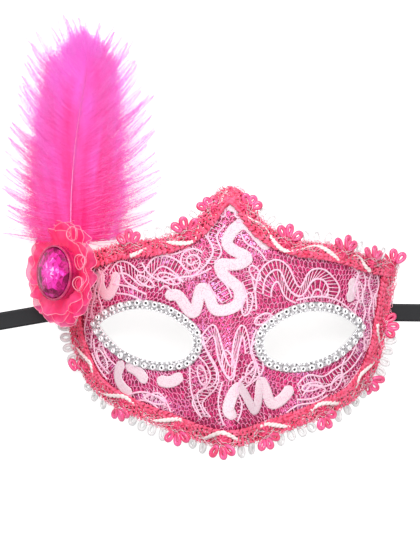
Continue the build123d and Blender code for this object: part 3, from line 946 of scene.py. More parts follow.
@dataclass
class Outline:
    """A closed line round the mask or an eye, with its length, and places beside it."""

    corners: Array
    smoothing: float = 5.0
    samples: int = 1400
    line: Array = field(init=False)
    outward: Array = field(init=False)
    length: float = field(init=False)

    def __post_init__(self) -> None:
        """Spaces the line evenly, counter-clockwise from its lowest point."""
        line = evenly(np.vstack([self.corners, self.corners[:1]]), self.samples, closed=True)
        after = np.roll(line, -1, axis=0)
        if (line[:, 0] * after[:, 1] - after[:, 0] * line[:, 1]).sum() < 0:
            line = line[::-1]
        line = np.roll(line, -int(np.argmin(line[:, 1])), axis=0)
        self.line = line
        self.length = length_of(np.vstack([line, line[:1]]))
        tangent = np.roll(line, -1, axis=0) - np.roll(line, 1, axis=0)
        half = max(1, int(self.smoothing / self.length * self.samples / 2))
        eased = sum(np.roll(tangent, shift, axis=0) for shift in range(-half, half + 1))
        eased = unit(eased)
        self.outward = np.stack([eased[:, 1], -eased[:, 0]], axis=1)

    def beside(self, share: Array | float, inset: Array | float) -> tuple[Array, Array]:
        """Places beside the line, each mixed from its two nearest samples.

        Args:
            share: how far round, 1 being once round.
            inset: how far inside the line.

        Returns:
            The places, and their outward ways.
        """
        place = (np.asarray(share, dtype=float) % 1.0) * self.samples
        low = place.astype(int) % self.samples
        part = (place - np.floor(place))[..., None]
        high = (low + 1) % self.samples
        outward = unit(self.outward[low] * (1 - part) + self.outward[high] * part)
        point = self.line[low] * (1 - part) + self.line[high] * part
        return point - outward * np.asarray(inset)[..., None], outward


def rim_outline() -> Outline:
    """The mask's rim.

    Returns:
        The rim, through the same places as the CAD one.
    """
    crown = [(8.0, 77.0), (15.5, 66.0), (26.0, 56.5), (44.5, 51.5), (62.5, 49.0), (77.0, 44.5), (95.5, 42.0)]
    jaw = [(88.3, -6.0), (83.5, -18.5), (73.0, -33.5), (56.0, -43.3), (34.0, -51.5), (12.0, -58.0)]
    other_crown = [(-x, y) for x, y in reversed(crown)]
    other_jaw = [(-x, y) for x, y in reversed(jaw)]
    top = smooth_line([*other_crown, (0.0, FORM.peak_height), *crown], 400)
    bottom = smooth_line([*jaw, (0.0, -FORM.chin_depth), *other_jaw], 300)
    return Outline(np.vstack([top, bottom]))


def eye_outline(side: int) -> Outline:
    """One eye opening.

    Args:
        side: 1 for the right eye, -1 for the left.

    Returns:
        The opening's edge, of three arcs.
    """
    arcs = [
        arc_through((24.5, 4.4), (48.0, 13.6), (71.6, 4.4), 60),
        arc_through((71.6, 4.4), (46.5, -13.8), (25.2, -13.6), 60)[1:],
        arc_through((25.2, -13.6), (19.2, -5.9), (24.5, 4.4), 30)[1:-1],
    ]
    line = np.vstack(arcs)
    return Outline(line * (side, 1), smoothing=3.0, samples=700)


RIM = rim_outline()
EYES = {-1: eye_outline(-1), 1: eye_outline(1)}
TRIM_SPLIT = 0.2655  # the share of the way round the rim at which the two lengths of trim meet
TOP_FLOWERS = [0.306, 0.329, 0.360, 0.419, 0.472, 0.531, 0.565, 0.624]
LOWER_FLOWERS = [-0.238, -0.175, -0.114, -0.051, -0.004, 0.039, 0.103, 0.165, 0.228]


def on_cloth(places: Array, rim_inset: float, eye_margin: float) -> Array:
    """Whether places are on the cloth: inside the rim by an inset, outside the eyes by a margin."""
    shares = np.arange(240) / 240
    kept = inside(places, RIM.beside(shares, rim_inset)[0])
    for eye in EYES.values():
        kept &= ~inside(places, eye.beside(shares, -eye_margin)[0])
    return kept


# ------------------------------------------------------------------ cloth and lace
@dataclass
class LaceNet:
    """Machine lace: a net of six-sided cells, knitted a little unevenly over the whole face."""

    cell: tuple[float, float] = (2.3, 3.2)
    half_size: tuple[float, float] = (115.0, 90.0)
    thread: float = 0.27
    unevenness: float = 0.2
    lift: float = 0.12
    stretch: float = 1.05
    seed: int = 11

    def along_face(self) -> tuple[Array, Array]:
        """Lengths along the face's middle profile, and the x of each."""
        x = np.linspace(-100, 100, 801)
        z = FORM.height(x, np.full_like(x, 12.0))
        slope = np.clip(np.gradient(z, x), -1.6, 1.6)
        length = np.concatenate([[0.0], np.cumsum(np.hypot(1.0, (slope[1:] + slope[:-1]) / 2) * np.diff(x))])
        return length - length[400], x

    def knots(self, i: Array, j: Array) -> Array:
        """Places the knots: rows of zigzags, swayed by slow waves and a little by chance.

        Args:
            i: each knot's number across the face.
            j: its row.

        Returns:
            The knots' plan places.
        """
        wide, high = self.cell
        s = i * wide / 2
        y = j * high + np.where((i + j) % 2 == 0, high / 6, -high / 6)
        sway = 3.4 * np.sin(y / 12.0 + s / 29.0) + 1.3 * np.sin(y / 5.2 - s / 13.0)
        rise = 2.8 * np.sin(s / 11.0 - y / 37.0) + 1.1 * np.sin(s / 6.3 + y / 9.0)
        lengths, xs = self.along_face()
        rng = np.random.default_rng(self.seed)
        jitter = rng.normal(0, self.unevenness, (2, *i.shape))
        return np.stack([np.interp(s + sway + jitter[0], lengths, xs), y + rise + jitter[1]], axis=-1)

    def build(self) -> None:
        """Makes the net: one short bar for each side of a cell, but none inside the ladders."""
        reach = int(self.half_size[0] * 2 / self.cell[0])
        rows = int(self.half_size[1] / self.cell[1])
        i, j = np.meshgrid(np.arange(-reach, reach + 1), np.arange(-rows, rows + 1), indexing="ij")
        knots = self.knots(i, j)
        zigzag = np.stack([knots[:-1], knots[1:]], axis=2).reshape(-1, 2, 2)
        up = (i + j) % 2 == 0
        uprights = np.stack([knots[:, :-1][up[:, :-1]], knots[:, 1:][up[:, :-1]]], axis=1)
        bars = np.concatenate([zigzag, uprights])
        bars = bars[on_cloth(bars, 5.0, 2.0).all(axis=1)]
        middle = bars.mean(axis=1, keepdims=True)
        covered = np.zeros(len(bars), dtype=bool)
        for one, other in LADDERS:
            covered |= inside(middle[:, 0], np.vstack([one, other[::-1]]))
        bars, middle = bars[~covered], middle[~covered]
        bars = middle + (bars - middle) * self.stretch
        points, normals = FORM.drape(bars, self.lift)
        shape = Shape()
        shape.swept(points, round_profile(4, 0.7), self.thread, normals)
        net = shape.piece("lace_net", NET, ["lace_overlay"])


def oval(x: float, y: float, long: float, short: float, turn: float) -> Array:
    """A closed oval.

    Args:
        x: its middle's place across the face.
        y: its middle's place up it.
        long: half its first axis.
        short: half its second.
        turn: its turn in degrees.

    Returns:
        Its points.
    """
    angle = np.linspace(0, 2 * math.pi, 40)
    cos, sin = math.cos(math.radians(turn)), math.sin(math.radians(turn))
    a, b = long * np.cos(angle), short * np.sin(angle)
    return np.stack([x + a * cos - b * sin, y + a * sin + b * cos], axis=1)


def spiral(x: float, y: float, radius: float, turns: float, start: float) -> Array:
    """A scroll that winds in to its centre.

    Args:
        x: its centre's place across the face.
        y: its centre's place up it.
        radius: how far out it starts.
        turns: how often it winds round.
        start: its first angle in degrees.

    Returns:
        Its points.
    """
    share = np.linspace(0, 1, int(24 * turns))
    angle = math.radians(start) + 2 * math.pi * turns * share
    reach = radius * (1 - 0.85 * share)
    return np.stack([x + reach * np.cos(angle), y + reach * np.sin(angle)], axis=1)


# The lace's figures: drawn cords, cords that wave through their places, ladders of two
# cords that the lace fills with rungs, and satin-stitched bands along a middle line.
DRAWN_CORDS = [
    oval(18.5, 9.0, 5.0, 2.4, 30), spiral(-20.5, 40, 7.4, 1.9, 40), oval(83, 16, 1.8, 7.5, 2),
    oval(73, 24, 1.6, 6.0, 8), oval(-33, 30.5, 6.5, 2.6, -18), oval(10, 17, 2.6, 6.5, -14),
    oval(0, -16, 3.0, 8.0, 12), oval(12, -20, 2.4, 6.0, -18), oval(-14, -22, 2.2, 5.5, 16),
    oval(46, -28, 5.5, 2.2, 12), oval(60, -26, 2.0, 5.0, -34), oval(-40, -36, 6.0, 2.2, -14),
    oval(-70, -15, 2.0, 6.0, 26), spiral(5, 66, 4.2, 1.5, 250), oval(-5, 69, 2.0, 4.6, 20),
    spiral(79, -4, 3.4, 1.5, 90), oval(14, 34, 2.4, 4.6, 30), oval(-46, 28.8, 5.5, 2.0, -30),
]
WAVING_CORDS = [
    [(-48, 39), (-44, 33), (-37.6, 29.5), (-28, 31), (-18, 32.5), (-10, 36.5)],
    [(-60, 37), (-57, 29), (-50.4, 25)],
    [(37, 19.5), (48, 21.5), (60, 19.5), (69, 13)],
    [(-14, -1), (-10.7, -11), (-6, -21), (-8, -27.2), (-15.4, -30.6), (-12, -43.4)],
    [(-20.8, -16), (-19.4, -32.6), (-14, -45)],
    [(-76, -12), (-72, -20), (-67, -26)],
    [(-46.3, -36), (-37.7, -32.6), (-33.6, -37), (-31, -43)],
    [(65, -12), (63, -19), (65.8, -27)],
    [(38, -35), (50, -33.3), (53.8, -30.5), (44.4, -27)],
    [(8, -22), (4.5, -29), (7, -36), (5, -46)],
    [(-3, -25), (-5, -36), (-2, -48)],
    [(15, 3), (12.5, -8), (15.5, -16), (17, -24)],
    [(31, 45.5), (43, 43), (54, 42.5), (66, 40.5)],
    [(65, 40), (72, 34), (69, 26), (74, 18)],
    [(-65, 39), (-72, 30), (-75, 20), (-77, 8)],
    [(-22, 48), (-30, 44), (-40, 44.5), (-52, 42)],
    [(6, 56), (9.5, 50), (15, 47), (20, 41)],
    [(-14, 55), (-9, 46), (-13, 38), (-21, 31)],
    [(77, -14), (70, -24), (60, -33), (52, -37)],
    [(-60, -36), (-50, -41), (-38, -45), (-24, -48)],
    [(20, -47), (30, -44.5), (42, -41), (54, -36)],
]
# upright waves, close together, where the face turns down to the temples
TEMPLE_SWAY = (1.1, -0.9, 0.8, -1.2, 1.0, -0.7, 0.6)
TEMPLE_CORDS = [
    [
        (side * (71.5 + 3.9 * number + TEMPLE_SWAY[(number + step) % 7]), 36.0 - 7.5 * step)
        for step in range(7)
    ]
    for side in (-1, 1) for number in range(4)
]
CORDS = [*DRAWN_CORDS, *(smooth_line(places, 40) for places in [*WAVING_CORDS, *TEMPLE_CORDS])]
SHARED_CORD = [
    (18.5, 22.5), (19.5, 30), (22.5, 34.5), (26.5, 36), (30, 31), (33.5, 24.5), (38.5, 21.5),
    (43, 26), (47, 31), (51, 31), (54.5, 26.5), (53.5, 21),
]
LADDER_PLACES = [
    (
        [(14.4, 24.4), (15.5, 32), (19, 38), (26, 41.5), (32, 38), (36, 30), (38.5, 26.5), (42, 32),
         (46, 36.5), (52, 36.5), (57.5, 32), (61, 25.5), (58, 20)],
        SHARED_CORD,
    ),
    (SHARED_CORD[:7], [(23, 21), (23.7, 26.5), (26, 29.5), (28.5, 25.5), (31.5, 20.5), (36.5, 18)]),
    (SHARED_CORD[7:11], [(45.5, 21), (48, 25.5), (50, 25), (51, 21)]),
    (
        [(-22, 33), (-28, 40), (-36, 43), (-43, 40), (-48, 33.5), (-54, 38), (-61, 39.5), (-66, 33)],
        [(-25, 28.5), (-31, 34.5), (-37, 37), (-41.5, 33), (-48, 26.5), (-54.5, 31.5), (-60, 33),
         (-62.5, 27)],
    ),
    ([(-30, 28), (-35, 31.5), (-39, 28.5)], [(-31.5, 23.5), (-35, 26.5), (-38, 24)]),
    (
        [(-21, -3), (-17.5, -10), (-12, -16), (-9.5, -24), (-14, -30), (-19, -36), (-15, -44)],
        [(-16, -1), (-12, -8), (-7.5, -15), (-5, -24), (-9, -31.5), (-13.5, -37), (-9, -44)],
    ),
    (
        [(16, -1), (12, -9), (14, -17), (9, -22), (4.5, -28)],
        [(20.5, -4), (17.5, -10), (19, -18), (14, -24.5), (9, -28)],
    ),
    (
        [(-15.6, -2.3), (-8.7, 5.5), (-2.8, -8.2), (1.1, -17), (3, -2.3), (7, 5.5), (11.9, -8.2)],
        [(-12.5, -5), (-8.7, -0.5), (-5.8, -10.5), (0.6, -22.5), (6, -5), (7.4, -0.5), (9, -10)],
    ),
    ([(-11.5, 28), (-7, 21), (-3.5, 17.5)], [(-6, 32), (-0.5, 25.5), (1.5, 20.5)]),
    ([(7, 29), (9.5, 22), (10, 13)], [(12.5, 31), (14.2, 23.5), (15, 14)]),
    ([(-62, 22), (-54, 21), (-46, 17)], [(-64, 27), (-56, 26), (-45, 21.5)]),
    (
        [(38, -27), (45, -21.5), (52, -22.5), (58, -19), (66, -14), (71, -6)],
        [(41, -33), (47, -27), (53, -28), (60, -24.5), (69, -18), (75, -10)],
    ),
    (
        [(-36, -43), (-42, -38), (-49, -37), (-54, -40)],
        [(-34, -37.5), (-42, -33), (-50, -32.5), (-57, -36)],
    ),
    ([(-70, -2), (-68, -12), (-62, -18)], [(-75, -4), (-73, -15), (-66, -23)]),
    ([(34, -48), (40, -42.5), (47, -42), (54, -38)], [(32, -42.5), (39, -38), (47, -37), (55, -33)]),
    ([(-7, 62), (-12, 54), (-9, 46), (-13, 39)], [(-2.5, 60), (-7, 53), (-4.5, 46), (-8.5, 39)]),
]
LADDERS = [(smooth_line(one, 60), smooth_line(other, 60)) for one, other in LADDER_PLACES]
BAND_PLACES = [
    [
        (21.6, 47.5), (14, 56), (7.8, 61), (1.5, 57), (-1.3, 50), (4, 45.5), (9.6, 42.2), (3, 38.5),
        (-5.2, 38.2), (-2.5, 32), (4.2, 26.5), (5.5, 18.5), (-0.5, 14), (-7.5, 14), (-10.5, 20),
        (-14.6, 25.5), (-17, 18.5), (-19.5, 12), (-24, 16), (-28.4, 21.4), (-35, 20.8),
    ],
    [
        (4.5, -43), (0.8, -41), (1.2, -34.5), (5.6, -28), (9.8, -33), (14.6, -40), (16.6, -33),
        (18.2, -25.2), (21.2, -31), (24.3, -37.2), (29.7, -34.6), (34.6, -27.5),
    ],
    [(-58, -15.5), (-60.8, -24), (-58, -30), (-52.5, -34.5)],
    [(-56.5, -17.5), (-50, -20.5), (-44.8, -27)],
    [(-38.8, -24.6), (-33.5, -26.2), (-27.5, -23.8), (-26, -21)],
    [(-70.5, 34.5), (-71, 26), (-67.5, 21), (-63.6, 26), (-62.6, 34)],
    [(67.8, 32), (68.6, 26), (66, 19)],
    [(10.5, 73), (4, 70), (-3, 73.5)],
]
BANDS = [smooth_line(places, max(24, 6 * len(places))) for places in BAND_PLACES]


@dataclass
class LaceFigures:
    """The cords and the satin-stitched bands worked into the lace."""

    cord_radius: float = 0.56
    cord_lift: float = 0.33
    band_width: float = 6.5
    band_thickness: float = 0.16
    band_lift: float = 0.30
    rung_pitch: float = 1.9
    ladder_pitch: float = 2.1
    rung_radius: float = 0.28
    rung_lift: float = 0.26

    def build(self) -> None:
        """Makes the cords and the bands."""
        cords = Shape()
        for line in [*CORDS, *(line for pair in LADDERS for line in pair)]:
            line = evenly(line, max(10, int(length_of(line) / 0.8)))
            kept = on_cloth(line, 5.5, 3.0)
            for run in np.split(np.arange(len(line)), np.flatnonzero(np.diff(kept.astype(int))) + 1):
                if kept[run[0]] and len(run) > 4:
                    points, normals = FORM.drape(line[run], self.cord_lift)
                    beat = 1 + 0.14 * np.sin(np.arange(len(run)) * 2.1)
                    cords.swept(points, round_profile(6, 0.8), self.cord_radius * beat, normals)
        cords.piece("lace_cords", LACE_CORD)
        self.rungs()
        bands = Shape()
        across = np.linspace(-1, 1, 9)
        crown = (1 - np.abs(across) ** 3) * self.band_thickness
        half = self.band_width / 2
        top = np.stack([across * half, crown + 0.05], axis=1)
        profile = np.vstack([top[::-1], [[-half, -0.1], [half, -0.1]]])
        for line in BANDS:
            line = evenly(line, int(length_of(line) / 0.55))
            count = len(line)
            end = np.minimum(np.arange(count), np.arange(count)[::-1])
            size = np.sqrt(np.clip(end / 4, 0.05, 1)) * (1 + 0.05 * np.sin(np.arange(count) * 2.7))
            points, normals = FORM.drape(line, self.band_lift)
            bands.swept(points, profile, size, normals)
            self.level(bands)
        bands.piece("lace_satin_bands", SATIN_STITCH)

    def rungs(self) -> None:
        """Short threads across the cords, like rungs, where the net is drawn to them."""
        rng = np.random.default_rng(17)
        bars = []
        for line in CORDS:
            line = evenly(line, max(6, int(length_of(line) / self.rung_pitch)))
            way = unit(np.gradient(line, axis=0))
            across = np.stack([-way[:, 1], way[:, 0]], axis=1)
            across = unit(across + way * rng.normal(0, 0.35, len(line))[:, None])
            for side in (-1, 1):
                far = side * rng.uniform(0.4, 3.4, len(line))[:, None]
                bars.append(np.stack([line, line + across * far], axis=1))
        for one, other in LADDERS:
            count = max(4, int((length_of(one) + length_of(other)) / 2 / self.ladder_pitch))
            bars.append(np.stack([evenly(one, count), evenly(other, count)], axis=1))
        bars = np.concatenate(bars)
        bars = bars[on_cloth(bars, 5.0, 2.5).all(axis=1)]
        points, normals = FORM.drape(bars, self.rung_lift)
        shape = Shape()
        shape.swept(points, round_profile(4, 0.8), self.rung_radius, normals)
        shape.piece("lace_rungs", LACE_CORD)

    @staticmethod
    def level(bands: Shape) -> None:
        """Holds the last band's points near the skin, where the face's curve leaves them off it."""
        points = bands.points[-1]
        skin = FORM.skin(points[:, 0], points[:, 1], trim=False)
        points[:, 2] = np.clip(points[:, 2], skin + 0.12, skin + 1.1)


# ------------------------------------------------------------------ rim trim
def blob(length: float, radius: float, rings: int = 5, sides: int = 5, bend: float = 0.0) -> Shape:
    """A short fat strand along the first axis, thin at its ends.

    Args:
        length: how long it is.
        radius: how fat its middle is.
        rings: how many rings of points it has.
        sides: how many points a ring.
        bend: how high its middle is arched.

    Returns:
        The strand.
    """
    share = np.linspace(0, 1, rings)
    path = np.stack([length * (share - 0.5), 0 * share, bend * np.sin(math.pi * share)], axis=1)
    shape = Shape()
    shape.swept(path, round_profile(sides), radius * np.sqrt(np.clip(np.sin(math.pi * share), 0.12, 1)))
    return shape


@dataclass
class RimTrim:
    """One length of the knitted braid with its flowers, loops, picots and white cord."""

    name: str
    span: tuple[float, float]
    flowers: Sequence[float]
    cord_from: int = 0
    seed: int = 3
    width: float = 9.0
    rows: int = 5
    stitch_pitch: float = 2.05
    stitch_radius: float = 0.58
    flower_inset: float = 3.6
    dome_radius: float = 3.3
    petal_length: float = 5.9
    petal_width: float = 3.7
    petal_radius: float = 1.2
    upright: float = 0.0
    petal_fan: float = 40.0
    cord_depth: float = 7.85
    peak_span: float = 0.035
    picot_pitch: float = 6.0
    picot_spacing: float = 5.3
    picot_radius: float = 1.05

    def shares(self, pitch: float) -> Array:
        """Shares of the way round the rim at this pitch, over this length of trim."""
        low, high = self.span
        return np.linspace(low, high, max(2, int((high - low) * RIM.length / pitch)))

    def laid(self, share: Array, inset: Array | float, lift: Array | float) -> tuple[Array, Array, Array]:
        """Lays places on the trim's skin.

        Args:
            share: how far round the rim.
            inset: how far inside it.
            lift: how far off the skin.

        Returns:
            The points, the skin's normals and the ways along the rim.
        """
        place, outward = RIM.beside(share, inset)
        points, normals = FORM.drape(place, lift, trim=True)
        along = np.stack([-outward[..., 1], outward[..., 0], 0 * outward[..., 0]], axis=-1)
        along = unit(along - normals * (along * normals).sum(axis=-1, keepdims=True))
        return points, normals, along

    def ground(self) -> None:
        """The knit's ground: a thin band along the skin, coloured dark as painted shade in the gaps between
        the stitches.
        """
        shares = self.shares(1.4)
        rows = np.linspace(0.5, self.width - 0.4, 9)
        upper, lower = ([self.laid(shares, row, lift)[0] for row in rows] for lift in (0.75, 0.1))
        rings = np.stack([*upper, *lower[::-1]], axis=1)
        shape = Shape()
        shape.wall(rings, even_map(*rings.shape[:2]))
        shape.piece(f"{self.name}_ground", KNIT_SHADE_GROUND, [f"{self.name}_braid"])

    def knit(self) -> None:
        """The stitches: rows of leaning strands in chain pairs, with bulges between the flowers."""
        rng = np.random.default_rng(self.seed)
        shape = Shape()
        stitch = blob(2.6, self.stitch_radius, bend=0.4)
        even = self.shares(self.stitch_pitch)
        count = len(even)
        for row in range(self.rows):
            inset = 1.0 + row * (self.width - 1.9) / (self.rows - 1)
            for leg in (-1, 1):
                shares = even + rng.normal(0, 0.00045, count)
                depth = inset + leg * 0.44 + rng.normal(0, 0.14, count)
                bulge = 0.35 * np.sin(shares * 2 * math.pi * 17) + 0.25
                points, normals, along = self.laid(shares, depth, 1.0 + bulge + rng.normal(0, 0.12, count))
                lean = np.cross(normals, along) * (leg * 0.62 + rng.normal(0, 0.22, count))[:, None]
                shape.stamped(stitch, points, along + lean, normals, rng.uniform(0.85, 1.2, count))
        plait = blob(3.4, 0.84, bend=0.5)
        shares = self.shares(2.7)
        count = len(shares)
        for leg in (-1, 1):
            depth = self.width - 1.75 + leg * 0.8 + rng.normal(0, 0.1, count)
            points, normals, along = self.laid(shares, depth, 1.45 + rng.normal(0, 0.1, count))
            lean = np.cross(normals, along) * (leg * 0.6 + rng.normal(0, 0.12, count))[:, None]
            shape.stamped(plait, points, along + lean, normals, rng.uniform(0.9, 1.12, count))
        shape.piece(f"{self.name}_knit", KNIT)

    def frill(self) -> None:
        """Fine loops of thread along the outer edge, and a few along the inner one."""
        rng = np.random.default_rng(self.seed + 1)
        shape = Shape()
        shares = self.shares(1.55)
        turn = np.linspace(-0.25 * math.pi, 1.25 * math.pi, 9)
        for inset, reach, lift in ((0.4, 1.5, 0.9), (1.2, 1.2, 1.5), (7.9, 0.9, 0.9)):
            where = shares + rng.normal(0, 0.0006, len(shares))
            points, normals, along = self.laid(where, inset, lift)
            outward = np.cross(along, normals)
            size = reach * rng.uniform(0.5, 1.25, len(shares))[:, None, None]
            tilt = rng.uniform(-0.3, 0.7, len(shares))[:, None, None]
            loop = along[:, None] * (0.75 * np.cos(turn))[None, :, None]
            rise = outward[:, None] + normals[:, None] * tilt
            loop = loop + rise * (0.8 + np.sin(turn))[None, :, None] * 0.6
            shape.swept(points[:, None] + loop * size, round_profile(4), 0.17, normals[:, None])
        shape.piece(f"{self.name}_frill", FRILL)

    def hub(self, share: float, inset: float, lift: float) -> tuple[Array, Array, Array, Array]:
        """The middle of a flower or a loop.

        Args:
            share: how far round the rim.
            inset: how far inside it.
            lift: how far off the skin.

        Returns:
            The place, with its outward, sideways and upward ways.
        """
        points, normals, along = self.laid(np.array([share]), inset, lift)
        outward = unit(np.cross(along, normals))
        return points[0], outward[0], along[0], normals[0]

    def centres(self) -> None:
        """The flowers' knitted centres: rings of small stitches over a dome."""
        rng = np.random.default_rng(self.seed + 2)
        shape = Shape()
        rib, knot = blob(3.3, 0.62, bend=0.5), blob(1.7, 0.6)
        for share in self.flowers:
            middle, outward, along, normal = self.hub(share, self.flower_inset, 1.9)
            for stitch, reach, count, rise in ((rib, 2.3, 9, 0.35), (knot, 0.75, 4, 1.25)):
                angle = np.arange(count) * 2 * math.pi / count + rng.normal(0, 0.08, count)
                ray = outward * np.cos(angle)[:, None] + along * np.sin(angle)[:, None]
                shape.stamped(stitch, middle + ray * reach + normal * rise, ray - normal * 0.35,
                              np.broadcast_to(normal, ray.shape))
            shape.stamped(blob(5.6, 2.5, 6, 8), (middle - normal * 1.0)[None], along[None], normal[None])
        shape.piece(f"{self.name}_centres", KNIT_CAP, [f"{self.name}_flower_centres"])

    @staticmethod
    def fan_ways(
        middle: Array, outward: Array, along: Array, reach: float, gap: float
    ) -> tuple[Array, Array]:
        """The ways ahead and aside of the loops at one place.

        They follow the trim, or are held level along it where the loops would come nearer the
        table than the gap.

        Args:
            middle: the place.
            outward: the trim's way out.
            along: its way along.
            reach: how far the loops reach.
            gap: how near the table they may come.

        Returns:
            The ways ahead and aside.
        """
        if middle[2] - reach * math.hypot(outward[2], along[2]) > gap:
            return outward, along
        level = unit(np.array([outward[0], outward[1], 0.0]))
        slope = min(-float(outward[2]), (float(middle[2]) - gap) / reach)
        ahead = level * math.sqrt(max(0.0, 1 - slope**2)) - np.array([0, 0, slope])
        return ahead, np.array([-level[1], level[0], 0.0])

    def petals(self) -> None:
        """Three fat drop-shaped loops of cord round each flower, nearly closed, each a little different."""
        rng = np.random.default_rng(self.seed + 3)
        shape = Shape()
        turn = full_turn(22)
        for share in self.flowers:
            middle, outward, along, normal = self.hub(share, 0.0, 2.3)
            outward = outward + np.array([0.0, self.upright, 0.0])
            outward = unit(outward - normal * outward @ normal)
            along = np.cross(normal, outward)
            ahead, aside = self.fan_ways(middle, outward, along, 11.0, 2.9)
            upward = np.cross(ahead, aside)
            scale = 0.72 if abs(share - 0.5) < self.peak_span else 1.0
            for number in range(3):
                angle = math.radians(self.petal_fan * (number - 1) + rng.uniform(-5, 5))
                ray = ahead * math.cos(angle) + aside * math.sin(angle)
                cross = np.cross(upward, ray)
                length = scale * self.petal_length * rng.uniform(0.9, 1.06)
                width = self.petal_width * rng.uniform(0.88, 1.08) * (0.5 + 0.5 * np.sin(turn / 2) ** 2)
                root = middle - ahead * (self.flower_inset + 4 * (1 - scale)) + ray * (self.dome_radius + 0.4)
                out = ray * (length / 2 * (1 - np.cos(turn)))[:, None]
                across = cross * (width / 2 * np.sin(turn))[:, None]
                lift = upward * (0.2 * (number % 2) + 0.3 * np.sin(turn))[:, None]
                girth = self.petal_radius * (0.82 + 0.22 * np.sin(turn / 2) ** 2)
                shape.swept(root + out + across + lift, round_profile(9), girth, upward, closed=True)
        shape.piece(f"{self.name}_petals", CORAL_CORD, [f"{self.name}_flower_petals"])

    def white_cord(self) -> None:
        """The white satin cord: fat where it arches round a flower, sunk in the knit between them."""
        shape = Shape()
        places, girths = [], []
        shares = self.flowers[self.cord_from:]
        steps = (
            (0, self.cord_depth, 1.0), (0.13, 6.7, 0.8), (0.3, 3.9, 0.25), (0.5, 1.8, 0.25),
            (0.7, 3.9, 0.25), (0.87, 6.7, 0.8),
        )
        for share, following in zip(shares, shares[1:]):
            gap = following - share
            for step, inset, girth in steps:
                nearest = share if step < 0.5 else following
                places.append(RIM.beside(share + step * gap, inset)[0])
                girths.append(0.25 if abs(nearest - 0.5) < self.peak_span else girth)
        places.append(RIM.beside(shares[-1], self.cord_depth)[0])
        girths.append(1.0)
        line = smooth_line(places, int(len(places) * 9))
        girth = np.interp(np.linspace(0, 1, len(line)), np.linspace(0, 1, len(girths)), girths)
        beat = np.arange(len(line)) * 0.8
        for strand in (0, math.pi):
            points, normals = FORM.drape(line, 0.95 + 1.5 * girth + 0.2 * np.cos(beat + strand), trim=True)
            side = unit(np.cross(normals, np.gradient(points, axis=0)))
            points = points + side * (0.62 * girth * np.sin(beat + strand))[:, None]
            shape.swept(points, round_profile(7, 0.75), 0.25 + 0.62 * girth, normals)
        shape.piece(f"{self.name}_cord", WHITE_CORD, [f"{self.name}_wavy_cord"])

    def metal_thread(self) -> None:
        """Thin kinked threads, silver and rose, that wander over the knit and round the flowers."""
        rng = np.random.default_rng(self.seed + 6)
        shape = Shape()
        shares = self.shares(0.55)
        count = len(shares)
        near = np.abs(shares[:, None] - np.array(self.flowers)[None]).min(axis=1) * RIM.length
        for line, middle in enumerate((0.8, 2.2, 3.8, 5.4)):
            wander = 1.3 * np.sin(np.arange(count) / (2.3 + 0.5 * line) + line) + rng.normal(0, 0.3, count)
            inset = middle + wander
            dome = 2.2 * np.exp(-((near / 3.6) ** 2)) * np.exp(-(((inset - 2.2) / 2.6) ** 2))
            lift = 1.9 + rng.normal(0, 0.22, count) + dome
            points, normals, _ = self.laid(shares, inset, lift)
            shape.swept(points, round_profile(4), 0.15, normals)
        shape.piece(f"{self.name}_metal_thread", METAL_THREAD)

    def picots(self) -> None:
        """Clear loops in twos and threes along the rim between the flowers."""
        rng = np.random.default_rng(self.seed + 4)
        shape = Shape()
        turn = full_turn(18)
        for share, following in zip(self.flowers, self.flowers[1:]):
            count = max(1, int((following - share) * RIM.length / self.picot_pitch - 1.5))
            count = 0 if max(abs(share - 0.5), abs(following - 0.5)) < self.peak_span else count
            for number in range(count):
                where = (share + following) / 2 + (number - (count - 1) / 2) * self.picot_spacing / RIM.length
                middle, outward, along, _ = self.hub(where, 0.2, 0.9)
                ahead, aside = self.fan_ways(middle, outward, along, 7.0, 1.5)
                upward = np.cross(ahead, aside)
                ray = unit(ahead + aside * (rng.uniform(-0.12, 0.12) + 0.22 * (number - (count - 1) / 2)))
                length, width = rng.uniform(5.4, 6.6), rng.uniform(2.9, 3.7)
                out = ray * (0.3 + length / 2 * (1 - np.cos(turn)))[:, None]
                swell = width / 2 * np.sin(turn) * (0.55 + 0.5 * np.sin(turn / 2))
                across = np.cross(upward, ray) * swell[:, None]
                lift = upward * (0.35 * np.sin(turn + rng.uniform(0, 6)))[:, None]
                loop = middle + out + across + lift
                shape.swept(loop, round_profile(8), self.picot_radius, upward, closed=True)
        shape.piece(f"{self.name}_clear_loops", PICOT, [f"{self.name}_picots"])

    def build(self) -> None:
        """Makes every piece of this length."""
        self.ground()
        self.knit()
        self.frill()
        self.centres()
        self.petals()
        self.white_cord()
        self.metal_thread()
        self.picots()


